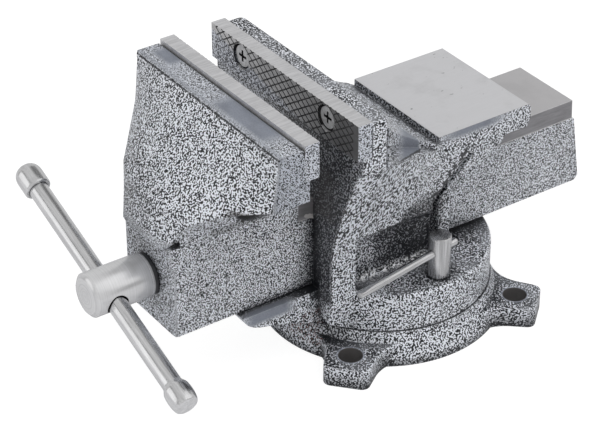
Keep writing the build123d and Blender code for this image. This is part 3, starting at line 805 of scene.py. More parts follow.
@dataclass(frozen=True)
class Spots:
    """Small places on a casting that differ from its paint and its ground iron."""

    # The first three tones are painted shade: in recesses and inner corners, in denser places, along creases.
    hollow_shade: Spot = Spot((0.07, 0.073, 0.08), 0.85)
    dense_shade: Spot = Spot((0.10, 0.103, 0.115), 0.6)
    crease: Spot = Spot((0.035, 0.037, 0.045), 0.5)
    rust: Spot = Spot((0.20, 0.075, 0.06), 0.55)
    # painted shade inside bolt holes
    bore_shade: Spot = Spot((0.13, 0.124, 0.122))
    chip: Spot = Spot((0.95, 0.96, 0.98))
    # a pit, and painted shade, in the dark boxes
    pit_and_shade: Spot = Spot((0.05, 0.047, 0.046), 0.9)
    pale_stroke: Spot = Spot((0.66, 0.64, 0.63), 0.8)
    stain: Spot = Spot((0.40, 0.395, 0.40), 0.16)
    pit: Spot = Spot((0.2, 0.195, 0.2), 0.6)
    glint: Spot = Spot((0.92, 0.92, 0.93), 0.7)
    # brighter tone along the edges of bare iron
    bright_edge: Spot = Spot((0.93, 0.93, 0.94), 0.85)


@dataclass(frozen=True)
class Cover:
    """Masks that the steps of the paint share: level faces, sparse speckle, painted shade of denser places and of
    recesses, slow patches.
    """

    upward: Feed
    sparse: Feed
    dense_shade: Feed
    hollow_shade: Feed
    patch: Feed


@dataclass(frozen=True)
class HammeredPaint:
    """Grey hammered paint on cast iron, with ground places left bare."""

    name: str
    light: Triple = (0.90, 0.925, 0.985)
    dark: Triple = (0.008, 0.009, 0.012)
    smooth: Triple = (0.27, 0.292, 0.345)
    quiet: Triple = (0.58, 0.612, 0.68)
    bare: Triple = (0.80, 0.80, 0.82)
    # darker copy of the bare tone on sideways faces, as painted shade
    bare_side_shade: Triple = (0.34, 0.335, 0.35)
    spots: Spots = Spots()
    grain: float = 0.70 * MM
    side_grain: float = 0.62 * MM
    sparse_grain: float = 0.52 * MM
    edge_radius: float = 0.8 * MM
    share: float = 0.47
    level_shade: float = 0.0
    level_calm: float = 0.5
    worn: float = 0.35
    metallic: float = 0.45
    patches: Patches = Patches()

    def covers(self, graph: Graph, place: Feed, facing: Outputs) -> Cover:
        """The masks that the paint's steps share.

        Args:
            graph: the material's graph.
            place: Object coordinates.
            facing: the normal's three numbers.

        Returns:
            The masks.
        """
        patches = self.patches
        lit = patches.mask(graph, place, patches.unshaded, 0.3)
        return Cover(
            upward=graph.remap(facing[2], 0.75, 0.97),
            sparse=patches.mask(graph, place, patches.sparse, 2.0),
            dense_shade=patches.mask(graph, place, patches.dense_shade, 1.0),
            hollow_shade=graph.times(HollowShade().place(graph)["Mask"], graph.minus(1.0, lit)),
            patch=Mottle().place(graph, Vector=place, Scale=70.0, Contrast=3.0)["Value"],
        )

    def speckled(self, graph: Graph, place: Feed, facing: Outputs, cover: Cover) -> Outputs:
        """The speckle: coarser in front, finer where sparse, and drawn out on faces that lean over the base.

        Args:
            graph: the material's graph.
            place: Object coordinates.
            facing: the normal's three numbers.
            cover: the shared masks.

        Returns:
            Outputs of the speckle group.
        """
        to_front = graph.remap(graph.times(facing[1], -1.0), 0.25, 0.75)
        grain = graph.blend(to_front, self.side_grain, self.grain)
        grain = graph.blend(cover.sparse, grain, self.sparse_grain)
        # More dark speckle is painted shade: in recesses and inner corners, on faces that look up, and in the denser
        # boxes.
        share = graph.math("ADD", self.share, graph.times(cover.hollow_shade, 0.5))
        share = graph.plus(share, graph.times(cover.upward, self.level_shade))
        share = graph.minus(share, graph.times(cover.sparse, 0.10))
        share = graph.plus(share, graph.times(cover.dense_shade, 0.35))
        leaning = graph.math("LESS_THAN", graph.facing("True Normal")[2], -0.25)
        drawn = graph.add("ShaderNodeCombineXYZ")
        for axis, kept in enumerate((0.8, 0.8, 0.5)):
            graph.feed(drawn.inputs[axis], graph.blend(leaning, 1.0, kept))
        spread = graph.vector_math("MULTIPLY", place, drawn.outputs[0])
        return Speckle().place(graph, Vector=spread, Grain=grain, Share=share)

    def paint(self, graph: Graph, place: Feed, edge: Outputs) -> tuple[Feed, Feed, Feed]:
        """The painted part of the finish.

        Args:
            graph: the material's graph.
            place: Object coordinates.
            edge: outputs of the soft edge group.

        Returns:
            Colour, share of dark and relief height.
        """
        patches, spots = self.patches, self.spots
        facing = graph.facing()
        cover = self.covers(graph, place, facing)
        speckle = self.speckled(graph, place, facing, cover)
        calm = graph.times(cover.upward, graph.remap(cover.patch, 0.2, 0.9, 0.0, self.level_calm))
        calm = graph.higher(calm, patches.mask(graph, place, patches.smooth, 2.5))
        rim: Feed = 0.0
        if patches.leaf:
            leaf, rim = patches.scooped(graph, place)
            rim = graph.times(rim, graph.remap(facing[2], 0.5, 0.7))
            calm = graph.higher(calm, leaf)
        dark = graph.times(speckle["Dark"], graph.blend(calm, 1.0, 0.1))
        film = graph.mix(graph.remap(cover.patch, 0.2, 0.8), toned(self.smooth, 0.85), self.smooth)
        tone = graph.mix(calm, graph.mix(cover.sparse, self.light, self.quiet), film)
        # Painted shade: a darker tone in recesses and inner corners.
        tone = spots.hollow_shade.over(graph, tone, cover.hollow_shade)
        # Painted shade: a darker tone in the denser boxes.
        tone = spots.dense_shade.over(graph, tone, cover.dense_shade)
        colour = graph.mix(dark, tone, self.dark)
        worn = graph.remap(cover.patch, 0.3, 0.7, 0.2 * self.worn, self.worn)
        colour = graph.mix(graph.times(edge["Edge"], worn), colour, self.light)
        colour = self.marked(graph, place, colour)
        colour = graph.cover(colour, self.dark, rim, 0.9)
        # Dark ragged lines: on the fixed jaw, painted shadow along the crevice under the anvil and a dark joint
        # behind the plate; on the moving jaw, a dark line under the deck's front edge.
        colour = graph.cover(colour, self.dark, patches.strokes(graph, place, patches.lines), 0.93)
        return colour, dark, speckle["Height"]

    def marked(self, graph: Graph, place: Feed, colour: Feed) -> Feed:
        """Painted shade along creases, rust, and bolt holes, shaded inside and with lighter rings round their
        mouths.

        Args:
            graph: the material's graph.
            place: Object coordinates.
            colour: the paint's colour so far.

        Returns:
            The marked colour.
        """
        patches, spots = self.patches, self.spots
        # Painted shade along sharp edges in the creased boxes.
        if patches.creased:
            sharp = SoftEdge().place(graph, Radius=0.5 * MM, Reach=0.10)["Edge"]
            sharp = graph.times(sharp, patches.mask(graph, place, patches.creased, 1.5))
            colour = spots.crease.over(graph, colour, sharp)
        if patches.rusty:
            rust = graph.remap(graph.noise(graph.askew(place), 1100.0, 1.0), 0.55, 0.62)
            rust = graph.times(rust, patches.mask(graph, place, patches.rusty, 3.0))
            colour = spots.rust.over(graph, colour, rust)
        if patches.bores:
            inside, ring = patches.bored(graph, place)
            # A lighter ring round each hole's mouth, and painted shade inside the holes.
            colour = graph.cover(colour, toned(self.smooth, 1.5), ring, 0.55)
            colour = spots.bore_shade.over(graph, colour, inside)
        return colour

    def chips_pit_and_shade(self, graph: Graph, place: Feed, colour: Feed) -> Feed:
        """Chips, a pit and painted shade in the dark boxes, and pale strokes, over paint and bare iron alike.

        Args:
            graph: the material's graph.
            place: Object coordinates.
            colour: the colour so far.

        Returns:
            The soiled colour.
        """
        patches, spots = self.patches, self.spots
        if patches.chipped:
            chips = graph.remap(graph.noise(graph.askew(place), 860.0, 1.0), 0.52, 0.55)
            chips = graph.times(chips, patches.mask(graph, place, patches.chipped, 1.2))
            colour = spots.chip.over(graph, colour, chips)
        # The dark boxes: a pit, and painted shade.
        colour = spots.pit_and_shade.over(graph, colour, patches.mask(graph, place, patches.dark, 0.8))
        return spots.pale_stroke.over(graph, colour, patches.strokes(graph, place, patches.pale_strokes))

    def ground(self, graph: Graph, place: Feed, edge: Outputs) -> tuple[Feed, Feed]:
        """The bare iron of the ground places: pale on top, darker on the sides as painted shade, bright at the
        edges.

        Args:
            graph: the material's graph.
            place: Object coordinates.
            edge: outputs of the soft edge group.

        Returns:
            Colour and tool marks.
        """
        spots = self.spots
        sideways = graph.remap(graph.math("ABSOLUTE", graph.facing()[2]), 0.3, 0.9, 1.0, 0.0)
        marks = Streaks().place(graph, Vector=graph.stretch(place, (1.0, 0.12, 1.0)), Scale=800.0)["Value"]
        stain = Mottle().place(graph, Vector=place, Scale=60.0, Contrast=2.2)["Value"]
        pits = graph.noise(graph.stretch(place, (1.0, 0.55, 1.0), (0.0, 0.0, 35.0)), 420.0, 2.0, 0.7)
        level = graph.mix(graph.remap(marks, 0.35, 0.65), toned(self.bare, 0.97), self.bare)
        level = spots.stain.over(graph, level, graph.remap(stain, 0.5, 0.95))
        level = spots.pit.over(graph, level, graph.remap(pits, 0.70, 0.76))
        level = spots.glint.over(graph, level, graph.remap(pits, 0.26, 0.20))
        # Sideways faces take a darker copy of the bare tone: painted shade.
        side = graph.mix(graph.remap(marks, 0.3, 0.7), toned(self.bare_side_shade, 0.72), self.bare_side_shade)
        metal = graph.mix(sideways, level, side)
        return spots.bright_edge.over(graph, metal, edge["Edge"]), marks

    def build(self) -> bpy.types.Material:
        """The material: speckle over paint, calmer on level faces, bare metal in the ground places.

        Returns:
            The new material.
        """
        material = bpy.data.materials.new(self.name)
        graph, surface, place = shader(material)
        edge = SoftEdge().place(graph, Radius=self.edge_radius, Reach=0.3)
        colour, dark, relief = self.paint(graph, place, edge)
        bare = self.patches.mask(graph, place, self.patches.bare, 0.25)
        painted = graph.minus(1.0, bare)
        rough = graph.blend(dark, 0.5, 0.34)
        swell = Mottle().place(graph, Vector=place, Scale=160.0, Contrast=1.0)["Value"]
        normal = graph.bump(graph.times(swell, painted), 0.4 * MM, 0.35, edge["Normal"])
        normal = graph.bump(graph.times(relief, painted), 0.06 * MM, 0.5, normal)
        if self.patches.bare:
            metal, marks = self.ground(graph, place, edge)
            colour = graph.mix(bare, colour, metal)
            rough = graph.blend(bare, rough, graph.remap(marks, 0.3, 0.7, 0.42, 0.52))
            normal = graph.bump(graph.times(marks, bare), 0.012 * MM, 0.5, normal)
            graph.feed(surface.inputs["Metallic"], graph.times(bare, self.metallic))
        graph.feed(surface.inputs["Base Color"], self.chips_pit_and_shade(graph, place, colour))
        graph.feed(surface.inputs["Roughness"], rough)
        graph.feed(surface.inputs["Normal"], normal)
        return material


class Marks(Enum):
    """How the tool marks of a steel piece run."""

    GROUND = "without a direction"
    TURNED = "round an axis"
    DRAWN = "along an axis"


@dataclass(frozen=True)
class WorkedSteel:
    """Bare steel with tool marks: ground, turned or drawn."""

    name: str
    tone: Triple
    scale: float
    rough: Pair
    marks: Marks = Marks.GROUND
    centre: Triple = (0.0, 0.0, 0.0)
    axis: Triple = (0.0, 1.0, 0.0)
    contrast: float = 0.25
    stain: float = 0.25
    depth: float = 0.006 * MM
    spread: float = 0.0
    edge_radius: float = 0.35 * MM
    metallic: float = 1.0
    # The next tones are painted shade: in inner corners, below the recess level, and the share kept on faces that
    # look up.
    corner_shade: Triple = (0.012, 0.012, 0.014)
    recess: Pair | None = None
    recess_shade: Triple = (0.008, 0.008, 0.009)
    top_shade: float = 1.0

    def run(self, graph: Graph, place: Feed) -> Feed:
        """Coordinates drawn out along the marks.

        Args:
            graph: the material's graph.
            place: Object coordinates.

        Returns:
            The new coordinates.
        """
        if self.marks is Marks.GROUND:
            return place
        centre = metres(self.centre)
        if self.marks is Marks.TURNED:
            return graph.turning(place, centre, self.axis)[0]
        along = graph.vector_math("DOT_PRODUCT", graph.vector_math("SUBTRACT", place, centre), self.axis)
        return graph.vector_math("SUBTRACT", place, graph.scaled(self.axis, graph.times(along, 0.95)))

    def toned_marks(self, graph: Graph, place: Feed, marks: Feed, edge: Outputs) -> Feed:
        """The steel's colour: marks and clouds in its tone, bright edges, and painted shade in inner corners,
        below a recess level and on faces that look up.

        Args:
            graph: the material's graph.
            place: Object coordinates.
            marks: the tool marks' value.
            edge: outputs of the soft edge group.

        Returns:
            The colour.
        """
        cloud = Mottle().place(graph, Vector=place, Scale=110.0, Contrast=1.6)["Value"]
        tone = graph.mix(graph.remap(marks, 0.36, 0.64), toned(self.tone, 1.0 - self.contrast), self.tone)
        tone = graph.cover(tone, toned(self.tone, 0.5), graph.remap(cloud, 0.5, 0.9), self.stain)
        tone = graph.cover(tone, toned(self.tone, 1.3), edge["Edge"], 0.5)
        # Painted shade in inner corners.
        corner_shade = HollowShade().place(graph, Reach=2.5 * MM, Open=0.75, Closed=0.35)["Mask"]
        tone = graph.cover(tone, self.corner_shade, corner_shade, 0.92)
        # Painted shade: near black below a level, in recesses such as a screw's counterbore and cross.
        if self.recess:
            level, inward = self.recess
            below = graph.times(graph.minus(graph.apart(place)[1], level * MM), inward)
            tone = graph.cover(tone, self.recess_shade, graph.remap(below, 0.02 * MM, 0.12 * MM), 0.97)
        # Painted shade: faces that look up take a darker tone.
        if self.top_shade < 1.0:
            tone = graph.mix(graph.remap(graph.facing()[2], 0.6, 0.95), tone, toned(self.tone, self.top_shade))
        return tone

    def build(self) -> bpy.types.Material:
        """The material: drawn-out marks in tone, roughness and height, with cloudy stains.

        Returns:
            The new material.
        """
        material = bpy.data.materials.new(self.name)
        graph, surface, place = shader(material)
        edge = SoftEdge().place(graph, Radius=self.edge_radius, Reach=0.3)
        run = self.run(graph, place)
        marks = Streaks().place(graph, Vector=run, Scale=self.scale)["Value"]
        graph.feed(surface.inputs["Base Color"], self.toned_marks(graph, place, marks, edge))
        graph.feed(surface.inputs["Roughness"], graph.remap(marks, 0.3, 0.7, *self.rough))
        surface.inputs["Metallic"].default_value = self.metallic
        normal = graph.bump(marks, self.depth, 0.6, edge["Normal"])
        if self.spread:
            normal = Brushed().place(graph, Vector=run, Lean=self.axis, Normal=normal, Spread=self.spread)["Normal"]
        graph.feed(surface.inputs["Normal"], normal)
        return material


@dataclass(frozen=True)
class PlateSteel:
    """Jaw plate: ground top, grip face with painted shade in its cuts and to one end, the casting's paint on its
    ends.
    """

    name: str
    grip_y: float
    inward: float
    tone: Triple = (0.80, 0.80, 0.815)
    grip: Triple = (0.74, 0.735, 0.74)
    # The next two tones are painted shade: on the grip face towards +X, and in the cuts.
    grip_shade: Triple = (0.09, 0.09, 0.095)
    cut: Triple = (0.01, 0.01, 0.011)
    bright_edge: Triple = (0.9, 0.9, 0.91)
    metallic: float = 0.6
    sprayed_to: Pair = (111.6, 114.2)
    paint: HammeredPaint = HammeredPaint(
        "plate ends", light=(0.74, 0.77, 0.84), dark=(0.03, 0.033, 0.042), share=0.40, worn=0.2,
        side_grain=0.55 * MM,
    )

    def grip_face(self, graph: Graph, place: Feed, cuts: Feed, painted: Feed) -> Feed:
        """The grip face: ground marks and clouds, painted shade to one end and in the cuts, paint dust up to a torn
        line.

        Args:
            graph: the material's graph.
            place: Object coordinates.
            cuts: the mask of the cuts.
            painted: the paint's colour.

        Returns:
            The face's colour.
        """
        marks = Streaks().place(graph, Vector=graph.stretch(place, (0.25, 1.0, 1.0)), Scale=700.0)["Value"]
        cloud = Mottle().place(graph, Vector=place, Scale=120.0, Contrast=2.0)["Value"]
        grip = graph.mix(graph.remap(marks, 0.35, 0.65), toned(self.grip, 0.8), self.grip)
        grip = graph.cover(grip, toned(self.grip, 0.6), graph.remap(cloud, 0.4, 0.9), 0.5)
        x, _, z = graph.apart(place)
        # Painted shade: the grip face darkens towards +X.
        grip = graph.mix(graph.remap(x, -35 * MM, 55 * MM, 0.0, 0.78), grip, self.grip_shade)
        # Painted shade in the cuts.
        grip = graph.cover(grip, self.cut, cuts, 0.97)
        height = graph.plus(z, graph.times(x, 0.2))
        height = graph.plus(height, graph.times(graph.noise(place, 500.0, 2.0), 4.0 * MM))
        low, high = (level * MM for level in self.sprayed_to)
        return graph.cover(grip, painted, graph.remap(height, low, high, 1.0, 0.0), 0.85)

    def build(self) -> bpy.types.Material:
        """The material: each face takes its finish from the way that it faces.

        Returns:
            The new material.
        """
        material = bpy.data.materials.new(self.name)
        graph, surface, place = shader(material)
        edge = SoftEdge().place(graph, Radius=0.3 * MM, Reach=0.3)
        across, along, up = graph.facing()
        x, y, _ = graph.apart(place)
        at_end = graph.remap(graph.math("ABSOLUTE", across), 0.8, 0.95)
        at_end = graph.times(at_end, graph.remap(graph.math("ABSOLUTE", x), 40 * MM, 46 * MM))
        upward = graph.remap(up, 0.8, 0.95)
        behind = graph.remap(graph.math("MULTIPLY", along, self.inward), 0.5, 0.8)
        shown = graph.higher(upward, behind)
        below = graph.math("MULTIPLY", graph.minus(y, self.grip_y * MM), self.inward)
        cuts = graph.math("SUBTRACT", graph.remap(below, 0.0, 0.06 * MM), shown, clamp=True)
        marks = Streaks().place(graph, Vector=graph.stretch(place, (1.0, 0.07, 1.0)), Scale=900.0)["Value"]
        top = graph.mix(graph.remap(marks, 0.4, 0.6), toned(self.tone, 0.8), self.tone)
        colour, _, relief = self.paint.paint(graph, place, edge)
        metal = graph.mix(shown, self.grip_face(graph, place, cuts, colour), top)
        # Brighter along the edges.
        metal = graph.cover(metal, self.bright_edge, edge["Edge"], 0.7)
        graph.feed(surface.inputs["Base Color"], graph.mix(at_end, metal, colour))
        rough = graph.blend(shown, graph.blend(cuts, 0.42, 0.7), graph.remap(marks, 0.3, 0.7, 0.34, 0.46))
        graph.feed(surface.inputs["Roughness"], graph.blend(at_end, rough, 0.38))
        graph.feed(surface.inputs["Metallic"], graph.times(graph.minus(1.0, at_end), self.metallic))
        height = graph.blend(at_end, graph.times(marks, 0.2), relief)
        graph.feed(surface.inputs["Normal"], graph.bump(height, 0.06 * MM, 0.5, edge["Normal"]))
        return material


def round_angles(steps: int) -> np.ndarray:
    """Angles of even steps round a full turn."""
    return np.linspace(0.0, 2 * np.pi, steps, endpoint=False)


def add_to_scene(thing: bpy.types.Object) -> None:
    """Put an object in the scene."""
    bpy.context.scene.collection.objects.link(thing)


@dataclass(frozen=True)
class Surface:
    """A mesh in the making: corner places in millimetres, and faces as rows of corner numbers."""

    corners: np.ndarray
    faces: Faces

    @staticmethod
    def joined(*parts: "Surface") -> "Surface":
        """One surface from several, their corners not yet welded.

        Args:
            parts: the surfaces.

        Returns:
            The joined surface.
        """
        starts = np.cumsum([0] + [len(part.corners) for part in parts])
        faces = [[n + int(start) for n in face] for start, part in zip(starts, parts) for face in part.faces]
        return Surface(np.concatenate([part.corners for part in parts]), faces)

    @staticmethod
    def skin(rings: np.ndarray, capped: bool = True) -> "Surface":
        """Quads between rings.

        Args:
            rings: rings by corners by three; every ring is closed.
            capped: whether the first and last ring are filled.

        Returns:
            The surface.
        """
        count, around = rings.shape[:2]
        grid = np.arange(count * around).reshape(count, around)
        turned = np.roll(grid, -1, axis=1)
        quads = np.stack([grid[:-1], turned[:-1], turned[1:], grid[1:]], axis=-1).reshape(-1, 4).tolist()
        caps = [grid[0, ::-1].tolist(), grid[-1].tolist()] if capped else []
        return Surface(rings.reshape(-1, 3), quads + caps)

    def mesh(self, name: str, crease: float = 32.0) -> bpy.types.Mesh:
        """A welded Blender mesh in metres, faces outward, with corners over an angle kept sharp.

        Args:
            name: the mesh's name.
            crease: degrees between faces above which an edge is sharp.

        Returns:
            The mesh.
        """
        mesh = bpy.data.meshes.new(name)
        mesh.from_pydata((self.corners * MM).tolist(), [], self.faces)
        work = bmesh.new()
        work.from_mesh(mesh)
        bmesh.ops.remove_doubles(work, verts=work.verts, dist=1e-6)
        bmesh.ops.recalc_face_normals(work, faces=work.faces)
        work.to_mesh(mesh)
        work.free()
        mesh.polygons.foreach_set("use_smooth", np.ones(len(mesh.polygons), dtype=bool))
        mesh.set_sharp_from_angle(angle=math.radians(crease))
        return mesh


@dataclass(frozen=True)
class Axle:
    """A line in the frame that turned pieces are built about."""

    origin: Triple
    along: Triple

    def basis(self) -> np.ndarray:
        """Directions along the line and across it.

        Returns:
            Three unit rows: one along the line, and two across it.
        """
        along = np.array(self.along) / np.linalg.norm(self.along)
        side = np.array((0.0, 0.0, 1.0)) if abs(along[2]) < 0.9 else np.array((0.0, 1.0, 0.0))
        first = side - along * float(side @ along)
        first /= np.linalg.norm(first)
        return np.stack([along, first, np.cross(along, first)])

    def lathe(self, profile: np.ndarray, around: int = 64) -> Surface:
        """Turn a profile about the line.

        Args:
            profile: rows of distance along the line and radius; the radius may have a column for
                each step round the line.
            around: steps in a turn.

        Returns:
            The closed surface.
        """
        angles = round_angles(around)
        along, first, second = self.basis()
        spokes = np.cos(angles)[:, None] * first + np.sin(angles)[:, None] * second
        reach = np.broadcast_to(profile[:, 1:], (len(profile), around))
        rings = np.array(self.origin) + profile[:, :1, None] * along + reach[:, :, None] * spokes[None]
        return Surface.skin(rings)

    def drill(self, half: float, radius: float, around: int) -> Surface:
        """A round cutter that reaches as far to both sides of the line's origin."""
        return self.lathe(np.array([(-half, radius), (half, radius)]), around)


def tube(path: np.ndarray, radius: float, across: np.ndarray, around: int = 10) -> Surface:
    """A round wire along a path.

    Args:
        path: its centre points.
        radius: the wire's radius.
        across: for each point, a unit vector across the path.
        around: steps round the wire.

    Returns:
        The closed surface: each ring is a circle in the plane across the path's own direction.
    """
    ahead = np.gradient(path, axis=0)
    ahead /= np.linalg.norm(ahead, axis=1, keepdims=True)
    other = np.cross(ahead, across)
    angles = round_angles(around)
    ring = np.cos(angles)[None, :, None] * across[:, None] + np.sin(angles)[None, :, None] * other[:, None]
    return Surface.skin(path[:, None] + radius * ring)


class Workshop:
    """Turns surfaces into pieces of the vise that ride on its bodies."""

    def __init__(self) -> None:
        """Start with an empty list of pieces."""
        self.pieces: list[bpy.types.Object] = []

    def piece(
        self, name: str, mesh: bpy.types.Mesh, finish: bpy.types.Material, body: str, slot: Slot, node: str
    ) -> None:
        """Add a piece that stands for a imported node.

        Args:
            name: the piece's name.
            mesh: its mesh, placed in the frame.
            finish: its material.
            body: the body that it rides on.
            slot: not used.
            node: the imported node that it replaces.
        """
        mesh.materials.clear()
        mesh.materials.append(finish)
        thing = bpy.data.objects.new(name, mesh)
        add_to_scene(thing)
        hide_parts(node)
        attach(thing, body)
        self.pieces.append(thing)
        log.info("%s: %d faces, for %s on %s", name, len(mesh.polygons), node, body)

    @staticmethod
    def carve(solid: Surface, *cutters: Surface, crease: float = 32.0) -> bpy.types.Mesh:
        """Cut shapes out of a solid.

        Args:
            solid: what is cut.
            cutters: closed surfaces to take away.
            crease: degrees above which an edge is sharp.

        Returns:
            The cut mesh.
        """
        block = bpy.data.objects.new("block", solid.mesh("block", crease))
        tools = [bpy.data.objects.new("tool", cutter.mesh("tool", crease)) for cutter in cutters]
        for thing in (block, *tools):
            add_to_scene(thing)
        for tool in tools:
            cut = block.modifiers.new("cut", "BOOLEAN")
            cut.object, cut.solver = tool, "EXACT"
        bpy.context.view_layer.update()
        mesh = bpy.data.meshes.new_from_object(block.evaluated_get(bpy.context.evaluated_depsgraph_get()))
        for thing in (block, *tools):
            bpy.data.objects.remove(thing)
        mesh.set_sharp_from_angle(angle=math.radians(crease))
        return mesh


@dataclass
class JawPlate:
    """A hardened jaw plate: two sets of cuts that cross as diamonds, and two counterbored screw holes."""

    grip_y: float
    inward: float
    half: float = 50.0
    foot: float = 108.1
    top: float = 123.5
    thick: float = 6.4
    screw_x: float = 29.0
    screw_z: float = 117.3
    rim: float = 5.4
    shank: float = 3.05
    sink: float = 0.95
    slope: float = 34.0
    pitch: float = 5.2
    cut_half: float = 0.33
    cut_depth: float = 0.26
    margin: float = 3.0
    run_out: float = 0.4
    shortest_cut: float = 0.05
    on_border: float = 1e-4
    on_rim: float = 2e-2
    round_steps: int = 56

    def across(self, points: np.ndarray, side: int) -> np.ndarray:
        """Distance of points across one set of cuts.

        Args:
            points: places in the grip face.
            side: minus one or one, for either set.

        Returns:
            The distances, in pitches.
        """
        angle = math.radians(self.slope)
        distance = points[:, 0] * math.sin(angle) - side * points[:, 1] * math.cos(angle)
        return distance / (self.pitch * math.sin(angle))

    def relief(self, points: np.ndarray) -> np.ndarray:
        """Depth of the grip face: the deeper of two V cuts, fading out at both end margins.

        Args:
            points: places in the grip face.

        Returns:
            The depth at each.
        """
        width = self.cut_half / (self.pitch * math.sin(math.radians(self.slope)))
        cuts = [self.across(points, side) for side in (-1, 1)]
        vees = [np.clip(1.0 - np.abs(cut - np.round(cut)) / width, 0.0, 1.0) for cut in cuts]
        fade = np.clip((self.half - self.margin - np.abs(points[:, 0])) / self.run_out, 0.0, 1.0)
        return self.cut_depth * np.maximum(*vees) * fade

    def cut_lines(self) -> np.ndarray:
        """Both edges and the middle of every cut, clipped to the cut field.

        Returns:
            Lines by two ends by two.
        """
        angle = math.radians(self.slope)
        step = self.pitch * math.sin(angle)
        limit = self.half - self.margin
        count = math.ceil((limit * math.sin(angle) + self.top * math.cos(angle)) / step) + 1
        number = np.arange(-count, count + 1)[:, None]
        offset = (number * step + np.array([-self.cut_half, 0.0, self.cut_half])).ravel()
        lines = []
        for side in (-1, 1):
            rise = side * math.cos(angle) * np.array([self.foot, self.top])
            x = (offset[:, None] + rise) / math.sin(angle)
            x = np.sort(x, axis=1).clip(-limit, limit)
            z = side * (x * math.sin(angle) - offset[:, None]) / math.cos(angle)
            keep = (x[:, 1] - x[:, 0]) > self.shortest_cut
            lines.append(np.stack([x[keep], z[keep]], axis=-1))
        return np.concatenate(lines)

    def loop(self, centre: Pair, radius: float) -> np.ndarray:
        """A circle of points in the grip face's plane."""
        angles = round_angles(self.round_steps)
        return np.stack([centre[0] + radius * np.cos(angles), centre[1] + radius * np.sin(angles)], axis=-1)

    @staticmethod
    def ordered(points: np.ndarray, centre: Pair) -> np.ndarray:
        """Points sorted round a centre."""
        return points[np.argsort(np.arctan2(points[:, 1] - centre[1], points[:, 0] - centre[0]))]

    def placed(self, points: np.ndarray, depth: np.ndarray | float) -> np.ndarray:
        """Points of the face plane, at a depth below the grip face, as places in the frame."""
        level = self.grip_y + self.inward * np.broadcast_to(depth, len(points))
        return np.stack([points[:, 0], level, points[:, 1]], axis=-1)

    def filled(self, loops: list[np.ndarray], lines: np.ndarray, radius: float) -> tuple[np.ndarray, Faces]:
        """Triangles inside the first loop and outside the others, with edges along the lines.

        Args:
            loops: the outline, then the holes.
            lines: pairs of line ends.
            radius: radius of both holes.

        Returns:
            The points, and the triangles as rows of point numbers.
        """
        points, edges, start = [], [], 0
        for loop in loops:
            number = np.arange(len(loop))
            edges.append(np.stack([number, np.roll(number, -1)], axis=1) + start)
            points.append(loop)
            start += len(loop)
        if len(lines):
            points.append(lines.reshape(-1, 2))
            edges.append(np.arange(2 * len(lines)).reshape(-1, 2) + start)
        flat = [Vector(point) for point in np.concatenate(points).tolist()]
        found = delaunay_2d_cdt(flat, np.concatenate(edges).tolist(), [], 1, 1e-5)
        corners = np.array([tuple(point) for point in found[0]])
        faces = np.array([list(face) for face in found[2]])
        middle = corners[faces].mean(axis=1)
        keep = np.ones(len(faces), dtype=bool)
        for x in (-self.screw_x, self.screw_x):
            keep &= np.hypot(middle[:, 0] - x, middle[:, 1] - self.screw_z) > radius * 0.995
        return corners, faces[keep].tolist()

    def surface(self) -> Surface:
        """The whole plate: grip face, hole walls, back and sides, to be welded.

        Returns:
            The surface.
        """
        ends, levels = (-self.half, self.half, self.half, -self.half), (self.foot, self.foot, self.top, self.top)
        outline = np.stack([ends, levels], axis=-1)
        centres = [(-self.screw_x, self.screw_z), (self.screw_x, self.screw_z)]
        rims = [self.loop(centre, self.rim) for centre in centres]
        corners, faces = self.filled([outline, *rims], self.cut_lines(), self.rim)
        front = Surface(self.placed(corners, self.relief(corners)), faces)
        used = corners[np.unique(np.array(faces))]
        on_side = np.abs(np.abs(used[:, 0]) - self.half) < self.on_border
        for level in (self.foot, self.top):
            on_side |= np.abs(used[:, 1] - level) < self.on_border
        border = self.ordered(used[on_side], (0.0, (self.foot + self.top) / 2))
        parts = [front, self.wall([(border, self.relief(border)), (border, self.thick)])]
        backs = []
        for centre in centres:
            away = np.hypot(used[:, 0] - centre[0], used[:, 1] - centre[1])
            ring = self.ordered(used[np.abs(away - self.rim) < self.on_rim], centre)
            inner = np.array(centre) + (ring - centre) * self.shank / self.rim
            cone = self.sink + self.rim - self.shank
            steps = [(ring, self.relief(ring)), (ring, self.sink), (inner, cone), (inner, self.thick)]
            parts.append(self.wall(steps))
            backs.append(inner)
        corners, faces = self.filled([border, *backs], np.zeros((0, 2, 2)), self.shank)
        parts.append(Surface(self.placed(corners, self.thick), faces))
        return Surface.joined(*parts)

    def wall(self, levels: list[tuple[np.ndarray, np.ndarray | float]]) -> Surface:
        """Quads between loops at several depths."""
        rings = np.stack([self.placed(points, depth) for points, depth in levels])
        return Surface.skin(rings, capped=False)


SPINDLE_HEIGHT = 55.0
BAR_TILT = math.radians(20.2)
BAR_AXLE = Axle((0.0, -131.5, SPINDLE_HEIGHT), (math.cos(BAR_TILT), 0.0, -math.sin(BAR_TILT)))


